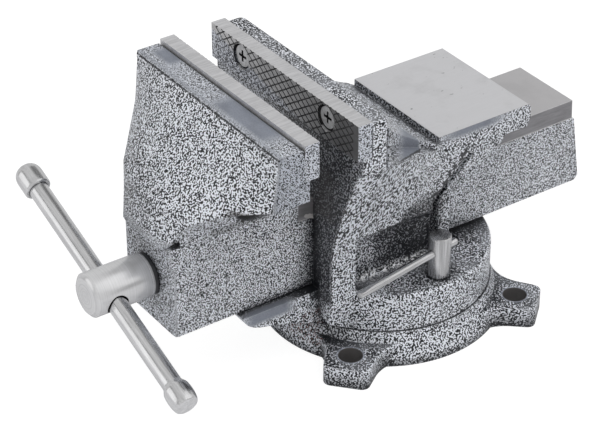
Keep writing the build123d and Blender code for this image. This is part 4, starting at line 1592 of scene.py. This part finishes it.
@dataclass
class SpindleSet:
    """The screw spindle with drilled head and cut thread, its spring and its split pin."""

    axle: Axle = Axle((0.0, 0.0, SPINDLE_HEIGHT), (0.0, 1.0, 0.0))
    head_front: float = -141.0
    head_back: float = -114.6
    head_radius: float = 9.1
    end: float = 76.0
    radius: float = 7.0
    thread_from: float = -78.0
    pitch: float = 4.0
    thread_depth: float = 2.2
    around: int = 72
    spring_from: float = -102.05
    spring_radius: float = 9.1
    spring_wire: float = 0.78
    pin_y: float = -87.85
    pin_wire: float = 0.68
    pin_eye: Pair = (-8.25, 1.95)
    pin_steps: int = 100

    def thread(self) -> np.ndarray:
        """Profile rows of the thread.

        The radius falls from the crest by the thread's depth times a trapezoid wave of the place
        along the axis less the turn's share of a pitch, and fades in at the start.

        Returns:
            Rows of place along the axis and the radius at each step round it.
        """
        along = np.arange(self.thread_from, self.end - 1.0, self.pitch / 9)
        turn = np.arange(self.around) / self.around
        phase = np.abs(np.mod(along[:, None] / self.pitch - turn[None], 1.0) - 0.5) * 2
        wave = np.clip((phase - 0.37) / 0.26, 0.0, 1.0)
        fade = np.clip((along - self.thread_from) / 3.0, 0.0, 1.0)[:, None]
        return np.concatenate([along[:, None], self.radius - self.thread_depth * wave * fade], axis=1)

    def spindle(self) -> bpy.types.Mesh:
        """Head, plain shank and thread in one turned piece, with both cross holes.

        Returns:
            The mesh.
        """
        front, back, head = self.head_front, self.head_back, self.head_radius
        start = [
            (front, 0.6), (front, 6.9), (front + 0.15, 7.5), (front + 1.35, head - 0.12), (front + 1.6, head),
            (back - 0.5, head), (back - 0.15, head - 0.2), (back, head - 0.6), (back, self.radius),
        ]
        tip = [(self.end - 0.9, 4.9), (self.end, 4.2)]
        plain = [np.array([(along, *[radius] * self.around) for along, radius in rows]) for rows in (start, tip)]
        solid = self.axle.lathe(np.concatenate([plain[0], self.thread(), plain[1]]), self.around)
        pin = Axle((0.0, self.pin_y, SPINDLE_HEIGHT), (1.0, 0.0, 0.0))
        return Workshop.carve(solid, BAR_AXLE.drill(14.0, 4.6, 48), pin.drill(12.0, 1.55, 24))

    def spring(self) -> bpy.types.Mesh:
        """Four coils between flattened end turns; the climb eases off at both ends.

        Returns:
            The mesh.
        """
        turns = np.linspace(0.0, 5.0, 181)
        climb = np.interp(turns, [0.0, 0.6, 4.4, 5.0], [0.0, 0.55, 9.75, 10.3])
        angle = 2 * np.pi * turns
        spoke = np.stack([np.cos(angle), np.zeros_like(angle), np.sin(angle)], axis=1)
        start = np.array([0.0, self.spring_from, SPINDLE_HEIGHT])
        path = start + self.spring_radius * spoke + climb[:, None] * np.array([0.0, 1.0, 0.0])
        return tube(path, self.spring_wire, spoke).mesh("spring")

    def split_pin(self) -> bpy.types.Mesh:
        """One folded wire: two legs through the spindle, an eye at one side, spread ends at the other.

        Returns:
            The mesh.
        """
        turn = np.linspace(-2.75, 2.75, 33)
        centre, radius = self.pin_eye
        eye = np.stack([centre - radius * np.cos(turn), radius * np.sin(turn)], axis=1)
        upper = np.array([(10.3, -2.3), (9.0, -1.5), (7.6, -0.82), (5.0, -0.72), (0.0, -0.72), (-5.4, -0.72)])
        flat = np.concatenate([upper, eye, upper[::-1] * (1.0, -1.0)])
        along = np.concatenate([[0.0], np.cumsum(np.hypot(*np.diff(flat, axis=0).T))])
        steps = np.linspace(0.0, along[-1], self.pin_steps)
        x, z = (np.interp(steps, along, flat[:, k]) for k in (0, 1))
        path = np.stack([x, np.full_like(x, self.pin_y), SPINDLE_HEIGHT + z], axis=1)
        return tube(path, self.pin_wire, np.tile((0.0, 1.0, 0.0), (len(path), 1))).mesh("split pin")


@dataclass
class HandleSet:
    """The handle bar with its swaged end, and the cap pressed on the other end."""

    left: float = -65.5
    right: float = 60.4
    radius: float = 4.0
    bulb: float = 5.5
    neck: float = 4.3
    cap: float = 5.6
    cap_bore: float = 4.06

    def bar(self) -> bpy.types.Mesh:
        """Plain bar that swells smoothly into a bulb with a flat end.

        Returns:
            The mesh.
        """
        start = self.left + 2.0
        swell = np.linspace(0.0, 1.0, 12)
        ease = swell * swell * (3 - 2 * swell)
        flare = np.stack([self.right - 11.2 + 3.4 * swell, self.radius + 1.3 * ease], axis=1)
        turn = np.linspace(-0.5, np.pi / 2, 16)
        bulge = self.neck + (self.bulb - self.neck) * np.cos(turn)
        tip = np.stack([self.right - 5.0 + 5.0 * np.sin(turn), bulge], axis=1)
        plain = np.array([
            (start, 0.5), (start, self.radius - 0.6), (start + 0.6, self.radius), (-20.0, self.radius),
            (20.0, self.radius),
        ])
        end = np.array([(self.right, 0.6)])
        return BAR_AXLE.lathe(np.concatenate([plain, flare, tip, end])).mesh("bar", 40)

    def end_cap(self) -> bpy.types.Mesh:
        """Domed cap with a rolled mouth that stands clear of the bar by a hair.

        Returns:
            The mesh.
        """
        turn = np.linspace(0.0, np.pi / 2, 12)
        dome = np.stack([self.left + 4.6 - 4.6 * np.cos(turn), 2.4 + (self.cap - 2.4) * np.sin(turn)], axis=1)
        mouth, floor = self.left + 11.5, self.left + 1.9
        rest = np.array([
            (mouth - 0.9, self.cap), (mouth - 0.3, self.cap - 0.15), (mouth, self.cap - 0.5),
            (mouth, self.cap_bore), (floor, self.cap_bore), (floor, 0.5),
        ])
        face = np.array([(self.left, 0.5)])
        return BAR_AXLE.lathe(np.concatenate([face, dome, rest])).mesh("cap", 40)


@dataclass
class SwivelLock:
    """A swivel lock: drilled round-headed bolt and the thin rod that turns it."""

    side: int
    x: float = 37.6
    y: float = 1.4
    seat: float = 31.1
    head: float = 4.7
    height: float = 19.0
    rod_height: float = 11.6
    rod_radius: float = 1.75
    rod_ends: Pair = (-9.6, 46.1)
    rod_round: float = 0.9
    squeeze: float = 0.45
    turn: float = -80.7

    def rod_axle(self) -> Axle:
        """The rod's line; the left side mirrors the right one.

        Returns:
            The line.
        """
        angle = math.radians(self.turn)
        along = (self.side * math.cos(angle), math.sin(angle), 0.0)
        return Axle((self.side * self.x, self.y, self.seat + self.rod_height), along)

    def bolt_axle(self) -> Axle:
        """The bolt's upright line."""
        return Axle((self.side * self.x, self.y, 0.0), (0.0, 0.0, 1.0))

    def bolt(self) -> bpy.types.Mesh:
        """Head with a chamfered top over a plain shank, drilled across.

        Returns:
            The mesh.
        """
        top = self.seat + self.height
        rows = [
            (3.8, 0.5), (3.8, 2.6), (4.2, 3.0), (self.seat - 0.02, 3.0), (self.seat, self.head - 0.25),
            (self.seat + 0.25, self.head), (top - 0.5, self.head), (top - 0.12, self.head - 0.32),
            (top, self.head - 0.6), (top, 0.5),
        ]
        hole = self.rod_axle().drill(8.0, self.rod_radius + 0.05, 32)
        return Workshop.carve(self.bolt_axle().lathe(np.array(rows), 72), hole)

    def rod(self) -> bpy.types.Mesh:
        """Thin rod with rounded ends; the front end is hammered a little flat.

        Returns:
            The mesh.
        """
        axle, curve, core = self.rod_axle(), self.rod_round, self.rod_radius - self.rod_round
        start, end = self.rod_ends
        turn = np.linspace(0.0, np.pi / 2, 8)
        back = np.stack([start + curve - curve * np.cos(turn), core + curve * np.sin(turn)], axis=1)
        front = np.stack([end - curve + curve * np.sin(turn), core + curve * np.cos(turn)], axis=1)
        middle = np.linspace(-8.0, 44.6, 60)[:, None] * (1.0, 0.0) + (0.0, self.rod_radius)
        surface = axle.lathe(np.concatenate([back, middle, front]), 32)
        along, flat, _ = axle.basis()
        place = surface.corners - np.array(axle.origin)
        share = np.clip((place @ along - 38.0) / 6.0, 0.0, 1.0)
        height = place @ flat
        limit = self.rod_radius - self.squeeze * share
        squeezed = np.clip(height, -limit, limit)
        return Surface(surface.corners + (squeezed - height)[:, None] * flat, surface.faces).mesh("rod", 40)


@dataclass
class PlateScrew:
    """A countersunk screw with a cross recess, seen in its plate."""

    x: float
    grip_y: float
    inward: float
    z: float = 117.3
    head: float = 4.75
    shank: float = 3.0
    length: float = 13.0
    sink: float = 0.85
    cross_depth: Triple = (-0.5, 0.85, 2.9)
    cross_half: Triple = (2.75, 2.6, 0.9)
    cross_thin: Triple = (0.68, 0.6, 0.3)

    def build(self) -> bpy.types.Mesh:
        """Turned head, cone and shank, with four tapered wings cut into the head.

        Returns:
            The mesh.
        """
        rim = self.sink + 0.6
        rows = [
            (self.sink, 0.4), (self.sink, self.head - 0.25), (self.sink + 0.2, self.head), (rim, self.head),
            (rim + self.head - self.shank, self.shank), (self.length - 0.6, self.shank),
            (self.length, self.shank - 0.6), (self.length, 0.4),
        ]
        axle = Axle((self.x, self.grip_y, self.z), (0.0, self.inward, 0.0))
        depth, half, thin = (np.array(row) for row in (self.cross_depth, self.cross_half, self.cross_thin))
        signs = np.array([(-1, -1), (1, -1), (1, 1), (-1, 1)])
        wings = []
        for wide, tall in ((half, thin), (thin, half)):
            x = self.x + signs[None, :, 0] * wide[:, None]
            z = self.z + signs[None, :, 1] * tall[:, None]
            y = np.broadcast_to((self.grip_y + self.inward * depth)[:, None], x.shape)
            wings.append(Surface.skin(np.stack([x, y, z], axis=-1)))
        return Workshop.carve(axle.lathe(np.array(rows), 48), *wings)


@dataclass(frozen=True)
class Panel:
    """A soft-edged patch of the room that polished steel mirrors."""

    towards: Triple
    inner: float
    outer: float
    strength: float


@dataclass
class Studio:
    """Pale floor, even surround, soft lamps and the camera at the photograph's angle."""

    focal_px: float = 2270.77
    frame_px: float = 600.0
    azimuth: float = 55.17
    elevation: float = 33.18
    distance: float = 873.31
    aim: Pair = (6.88, -56.86)
    pivot: Triple = (0.0, -49.4376, 123.527)
    sensor: float = 36.0
    ambient: float = 0.66
    mirrored: float = 0.74
    floor_half: float = 4.0
    floor_level: float = -0.0002
    floor_lit: Triple = (0.84, 0.84, 0.85)
    floor_seen: Triple = (0.26, 0.26, 0.26)
    floor_glow: float = 0.90
    lamps_aim: Triple = (0.0, -0.03, 0.06)
    panels: tuple[Panel, ...] = (
        Panel((-0.20, 0.62, 0.76), 12.0, 28.0, 0.22),
        Panel((0.85, 0.48, 0.10), 8.0, 18.0, 0.20),
        Panel((-0.37, -0.88, 0.25), 30.0, 36.0, 0.30),
        Panel((-0.37, -0.88, 0.25), 22.0, 27.0, 1.25),
        Panel((0.50, 0.48, 0.72), 24.0, 36.0, 1.12),
    )

    def camera(self) -> None:
        """The camera, placed by its angles about a pivot, with its aim moved along its own axes."""
        a, e = math.radians(self.azimuth), math.radians(self.elevation)
        back = np.array((math.sin(a) * math.cos(e), -math.cos(a) * math.cos(e), math.sin(e)))
        right = np.array((math.cos(a), math.sin(a), 0.0))
        up = np.cross(back, right)
        place = np.array(self.pivot) + back * self.distance + right * self.aim[0] + up * self.aim[1]
        data = bpy.data.cameras.new("camera")
        data.sensor_width = self.sensor
        data.lens = self.focal_px * self.sensor / self.frame_px
        data.clip_start, data.clip_end = 0.05, 50.0
        camera = bpy.data.objects.new("camera", data)
        matrix = np.eye(4)
        matrix[:3] = np.stack([right, up, back, place * MM], axis=1)
        camera.matrix_world = Matrix(matrix.tolist())
        add_to_scene(camera)
        bpy.context.scene.camera = camera

    @staticmethod
    def rays(graph: Graph) -> tuple[Socket, Socket]:
        """Masks of the rays that see the plain white backdrop, and of those that polished steel mirrors.

        Args:
            graph: the graph of the floor's material or of the world.

        Returns:
            Both masks.
        """
        path = graph.add("ShaderNodeLightPath").outputs
        return graph.math("MAXIMUM", path["Is Camera Ray"], path["Is Transmission Ray"]), path["Is Glossy Ray"]

    def floor(self) -> None:
        """A wide floor that stays white and still takes the vise's soft shadow."""
        mesh = bpy.data.meshes.new("floor")
        corners = [(x * self.floor_half, y * self.floor_half) for x, y in ((-1, -1), (1, -1), (1, 1), (-1, 1))]
        mesh.from_pydata([(x, y, self.floor_level) for x, y in corners], [], [(0, 1, 2, 3)])
        floor = bpy.data.objects.new("floor", mesh)
        add_to_scene(floor)
        material = bpy.data.materials.new("pale floor")
        graph, surface, _ = shader(material)
        seen, _ = self.rays(graph)
        graph.feed(surface.inputs["Base Color"], graph.mix(seen, self.floor_lit, self.floor_seen))
        surface.inputs["Roughness"].default_value = 1.0
        surface.inputs["Specular IOR Level"].default_value = 0.0
        surface.inputs["Emission Color"].default_value = (1.0, 1.0, 1.0, 1.0)
        graph.feed(surface.inputs["Emission Strength"], graph.times(seen, self.floor_glow))
        mesh.materials.append(material)

    def world(self) -> None:
        """An even pale surround: white where it is seen, calmer as light on the vise."""
        world = bpy.data.worlds.new("studio")
        world.use_nodes = True
        world.node_tree.nodes.clear()
        graph = Graph(world.node_tree)
        out = graph.add("ShaderNodeOutputWorld")
        background = graph.add("ShaderNodeBackground")
        seen, glossy = self.rays(graph)
        direction = graph.add("ShaderNodeTexCoord").outputs["Generated"]
        room: Feed = self.mirrored
        for panel in self.panels:
            towards = tuple(Vector(panel.towards).normalized())
            nearness = graph.vector_math("DOT_PRODUCT", direction, towards)
            outer, inner = (math.cos(math.radians(angle)) for angle in (panel.outer, panel.inner))
            room = graph.blend(graph.remap(nearness, outer, inner), room, panel.strength)
        lit = graph.blend(glossy, self.ambient, room)
        graph.feed(background.inputs["Strength"], graph.blend(seen, lit, 1.0))
        graph.feed(out.inputs["Surface"], background.outputs[0])
        bpy.context.scene.world = world

    def lamp(self, name: str, towards: Triple, distance: float, size: float, watts: float) -> None:
        """A soft square lamp that faces the vise.

        Args:
            name: the lamp's name.
            towards: direction from the vise to the lamp.
            distance: how far it stands, in metres.
            size: its width and height, in metres.
            watts: its power.
        """
        data = bpy.data.lights.new(name, "AREA")
        data.shape, data.size, data.size_y, data.energy = "RECTANGLE", size, size, watts
        lamp = bpy.data.objects.new(name, data)
        direction = Vector(towards).normalized()
        lamp.location = Vector(self.lamps_aim) + direction * distance
        lamp.rotation_euler = direction.to_track_quat("Z", "Y").to_euler()
        lamp.visible_glossy = False
        add_to_scene(lamp)

    def build(self) -> None:
        """Floor, surround, lamps and camera."""
        bpy.context.scene.view_settings.view_transform = "Standard"
        self.camera()
        self.floor()
        self.world()
        self.lamp("front softbox", (0.2, -0.85, 0.5), 1.4, 0.8, 2.0)
        self.lamp("overhead softbox", (0.35, 0.15, 0.93), 1.3, 0.9, 5.0)
        log.info("studio: camera, floor, surround and two lamps")


@dataclass
class Dresser:
    """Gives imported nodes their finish."""

    nodes: dict[str, bpy.types.Object]
    done: list[str] = field(default_factory=list)

    def dress(self, material: bpy.types.Material, *names: str) -> None:
        """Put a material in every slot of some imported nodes.

        Args:
            material: the finish.
            names: the nodes.
        """
        for name in names:
            for slot in self.nodes[name].material_slots:
                slot.material = material
            self.done.append(name)
            log.info("%s wears %s", name, material.name)


class Castings:
    """The paint of the three castings, with the places where each differs."""

    @staticmethod
    def fixed() -> HammeredPaint:
        """Fixed jaw: bare anvil and slide channel, a leaf in each scoop, chips, a pit, painted shade and torn dark
        lines.

        Returns:
            The paint.
        """
        return HammeredPaint(
            "fixed jaw paint",
            side_grain=0.68 * MM,
            level_shade=0.22,
            level_calm=0.3,
            patches=Patches(
                bare=(Box((-29, 5.9, 89.1), (29, 54, 90)), Box((-18.4, -46.6, 33), (18.4, 54, 75))),
                smooth=(
                    *Box((26, 2, 84.5), (31, 46, 93), (1, 16, 3)).paired(),
                    Box((18, -86, 27), (26, -56, 38), (2, 8, 3)),
                ),
                # Painted shade: the jaw's face between the jaws, and both side pockets.
                dense_shade=(
                    Box((-16, -52, 28), (60, -45.6, 140), (24, 1, 3)),
                    *Box((20, -26, 26), (27.3, 18, 66), (0.5, 11, 11)).paired(),
                ),
                unshaded=(
                    Box((-60, -49, 94), (14, -45.5, 114), (22, 1, 3), 0.7),
                    Box((-31, 5.2, 84), (31, 6.9, 89.9), None, 0.7),
                    Box((48, -35.5, 96), (51, -34.3, 121), (0.3, 0.2, 1)),
                    Box((12, -34, 86), (50, 2, 100), (2, 2, 2), 0.6),
                    Box((16, 9, 30), (30, 26, 84), (1, 2, 3)),
                ),
                chipped=(
                    *Box((22, -32, 30.6), (27, 6, 33.6)).paired(),
                    Box((19.2, -48, 56.4), (20.6, -46, 58.4)),
                ),
                # A pit in the anvil, and painted shade on the jaw's face between the jaws.
                dark=(
                    Box((4.0, 10.1, 89), (5.0, 11.4, 90.5), (0.3, 0.4, 0.1), 0.8),
                    Box((14, -48, 66), (37, -46, 95), (10, 0.5, 6), 0.6),
                ),
                rusty=(Box((12, -58, 14), (24, -44, 26)),),
                # The first two lines are painted shadow along the crevice under the anvil; the third is the dark
                # joint behind the plate.
                lines=(
                    Line((7.6, 56.4), (21.6, 78.4), 1.2, 2.6), Line((8.6, 31.5), (8.2, 56.0), 0.3, 1.3),
                    Line((-42.9, 108.4), (-42.9, 123.4), 0.28, 0.1),
                ),
                leaf=(
                    Side((0.8405, 0.5417, 0.0), 23.2, 0.5), Side((-0.605, -0.796, 0.0), -4.0, 5.2),
                    Side((0.0, 1.0, 0.0), -3.4, 1.6), Side((0.0, -0.3654, -0.9309), -80.2, 0.5),
                ),
            ),
        )

    @staticmethod
    def moving() -> HammeredPaint:
        """Moving jaw: ground slide, calm top, finer speckle at the head's end, painted shade at creases and under
        the head.

        Returns:
            The paint.
        """
        return HammeredPaint(
            "moving jaw paint",
            bare=(0.64, 0.63, 0.64),
            grain=0.66 * MM,
            side_grain=0.54 * MM,
            worn=0.15,
            level_calm=0.35,
            patches=Patches(
                bare=(Box((-17.6, -54, 65.6), (17.6, 93, 76)),),
                smooth=(
                    Box((-5, -85, 119.8), (43, -68, 136), (11, 4, 1)),
                    Box((-49, -82.5, 119.8), (-29, -68, 136), (6, 4, 1)),
                    Box((-52, -84.5, 119.8), (52, -82.4, 124), (1, 0.5, 0.5), 0.5),
                ),
                sparse=(
                    Box((48.5, -90, 88), (53, -66, 126), (1.2, 4, 6)),
                    Box((-20, -118, 28), (20, -111.5, 78), (1, 2, 4), 0.5),
                    Box((-52, -84.7, 119.6), (52, -72, 124), (1, 0.3, 0.5), 0.5),
                ),
                unshaded=(Box((-22, -118, 26), (22, -110, 80), (1, 2, 2), 0.6),),
                # Painted shade: the lower left of the head's front.
                dense_shade=(Box((-52, -130, 52), (14, -92, 104), (18, 6, 18), 0.25),),
                # Painted shade: on the ground slide under the wing, along the slide's top edge under the head, and
                # under the wing's front corner.
                dark=(
                    Box((15, -60, 65.8), (18.6, -40, 80), (0.5, 12, 2.2), 0.5),
                    Box((4, -97, 73.4), (19.5, -58, 77), (5, 4, 0.5)),
                    Box((33, -100, 92), (48, -87, 97.4), (4, 1, 1.2), 0.8),
                ),
                # A pale stroke on the ground slide.
                pale_strokes=(Line((-50.0, 67.2), (-45.4, 65.6), 0.85, 0.2),),
                # Painted shade along the head's edges.
                creased=(Box((-56, -100, 84), (56, -66, 126)),),
                lines=(Line((-84.8, 120.85), (-84.7, 120.95), 0.3, 0.2),),
            ),
        )

    @staticmethod
    def base() -> HammeredPaint:
        """Base: four bolt holes in its ears, painted shade inside and lighter rings round them, and rust at the
        front.

        Returns:
            The paint.
        """
        angles = [math.radians(41.7 + 90 * k) for k in range(4)]
        bores = tuple((57.5 * math.cos(a), 57.5 * math.sin(a), 5.0) for a in angles)
        return HammeredPaint(
            "base paint", side_grain=0.66 * MM, level_shade=0.30, level_calm=0.2, worn=0.5,
            patches=Patches(rusty=(Box((2, -52, 3), (24, -43, 14)),), bores=bores),
        )


@dataclass
class Vise:
    """The whole vise: finishes for the castings and plain parts, new meshes for the worked pieces."""

    dresser: Dresser
    shop: Workshop = field(default_factory=Workshop)
    grip_rear: float = -49.4
    grip_front: float = -67.1
    screw_x: float = 29.0

    def castings(self) -> None:
        """Paint on the three castings, bare iron where they are ground."""
        paints = {"fixed_jaw": Castings.fixed(), "moving_jaw": Castings.moving(), "swivel_base": Castings.base()}
        for node, paint in paints.items():
            self.dresser.dress(paint.build(), node)

    def jaw_plates(self) -> None:
        """Both diamond-cut plates and their screws."""
        plates = (("rear", self.grip_rear, 1.0, "body"), ("front", self.grip_front, -1.0, "moving"))
        for name, grip, inward, body in plates:
            finish = PlateSteel(f"{name} plate steel", grip, inward).build()
            plate = JawPlate(grip, inward).surface().mesh(f"{name} jaw plate", 20)
            self.shop.piece(f"{name}_plate_cut", plate, finish, body, Slot.JAW_STEEL, f"{name}_jaw_plate")
            # The screws' darkening below their sink level is painted shade in the counterbore and cross.
            screw = WorkedSteel(
                f"{name} screw steel", tone=(0.84, 0.84, 0.85), scale=500.0, rough=(0.34, 0.46), contrast=0.35,
                stain=0.6, metallic=0.5, recess=(grip + inward * PlateScrew.sink, inward),
            ).build()
            for side, x in (("left", -self.screw_x), ("right", self.screw_x)):
                node = f"{name}_plate_screw_{side}"
                mesh = PlateScrew(x, grip, inward).build()
                self.shop.piece(f"{node}_cut", mesh, screw, body, Slot.SCREW_STEEL, node)

    def spindle(self) -> None:
        """Spindle, spring and split pin."""
        parts = SpindleSet()
        bright = WorkedSteel(
            "turned steel", tone=(0.88, 0.88, 0.89), marks=Marks.TURNED, centre=parts.axle.origin,
            axis=parts.axle.along, scale=1100.0, rough=(0.2, 0.28), contrast=0.16, stain=0.16, spread=0.5,
            metallic=0.6,
        ).build()
        dark = WorkedSteel("spring steel", tone=(0.14, 0.14, 0.15), scale=300.0, rough=(0.35, 0.5)).build()
        self.shop.piece("spindle_threaded", parts.spindle(), bright, "screw", Slot.TURNED_STEEL, "spindle")
        self.shop.piece("spring_wound", parts.spring(), dark, "screw", Slot.DARK_STEEL, "spindle_spring")
        self.shop.piece("split_pin_folded", parts.split_pin(), dark, "screw", Slot.DARK_STEEL, "split_pin")
        # The thrust washer's dark tone is partly painted shade: it stands for the shadow ring behind the spindle
        # head; the hidden spring washers share it.
        black = WorkedSteel("washer steel darkened as shade", tone=(0.13, 0.13, 0.135), scale=300.0, rough=(0.4, 0.55))
        self.dresser.dress(black.build(), "thrust_washer", "spring_washer_front", "spring_washer_rear")

    def handle(self) -> None:
        """Handle bar and cap."""
        parts = HandleSet()
        finish = WorkedSteel(
            "polished steel", tone=(0.90, 0.90, 0.91), marks=Marks.DRAWN, centre=BAR_AXLE.origin,
            axis=BAR_AXLE.along, scale=600.0, rough=(0.18, 0.28), contrast=0.20, stain=0.22, depth=0.008 * MM,
            spread=0.3,
        ).build()
        self.shop.piece("handle_bar_swaged", parts.bar(), finish, "handle", Slot.HANDLE_CHROME, "handle_bar")
        self.shop.piece("handle_cap_domed", parts.end_cap(), finish, "handle", Slot.HANDLE_CHROME, "handle_cap")

    def locks(self) -> None:
        """Both swivel lock bolts and rods."""
        for side, name in ((-1, "left"), (1, "right")):
            lock = SwivelLock(side)
            upright, lying = lock.bolt_axle(), lock.rod_axle()
            # The bolts' tops are darker as painted shade.
            bolt = WorkedSteel(
                f"{name} lock steel", tone=(0.86, 0.86, 0.87), marks=Marks.DRAWN, centre=upright.origin,
                axis=upright.along, scale=330.0, rough=(0.2, 0.32), contrast=0.5, stain=0.3, depth=0.02 * MM,
                spread=0.3, top_shade=0.5,
            ).build()
            rod = WorkedSteel(
                f"{name} rod steel", tone=(0.74, 0.74, 0.75), marks=Marks.DRAWN, centre=lying.origin,
                axis=lying.along, scale=600.0, rough=(0.14, 0.22), contrast=0.3, stain=0.3, spread=0.1,
            ).build()
            node, body = f"lock_bolt_{name}", f"lock_{name}"
            self.shop.piece(f"{node}_drilled", lock.bolt(), bolt, body, Slot.TURNED_STEEL, node)
            node, body = f"lock_rod_{name}", f"rod_{name}"
            self.shop.piece(f"{node}_rounded", lock.rod(), rod, body, Slot.HANDLE_CHROME, node)

    def hidden(self) -> None:
        """Finishes of the plain parts under the vise and inside the slide."""
        screw = WorkedSteel("hidden screw steel", tone=(0.36, 0.36, 0.37), scale=500.0, rough=(0.3, 0.45)).build()
        self.dresser.dress(screw, "nut_bolt", "pivot_bolt", "pivot_washer", "clamp_nut_left", "clamp_nut_right")
        iron = WorkedSteel("nut iron", tone=(0.2, 0.2, 0.205), scale=260.0, rough=(0.45, 0.65), metallic=0.7).build()
        self.dresser.dress(iron, "spindle_nut")

    def build(self) -> None:
        """Every sub-assembly in turn."""
        for step in (self.castings, self.jaw_plates, self.spindle, self.handle, self.locks, self.hidden):
            step()
        log.info("%d new pieces, %d nodes dressed", len(self.shop.pieces), len(self.dresser.done))


def main() -> None:
    """Load the frame, and build the vise and the studio."""
    logging.basicConfig(level=logging.INFO, format="%(name)s: %(message)s")
    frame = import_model()
    Vise(Dresser(frame["nodes"])).build()
    Studio().build()
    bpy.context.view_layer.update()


if __name__ == "__main__":
    main()
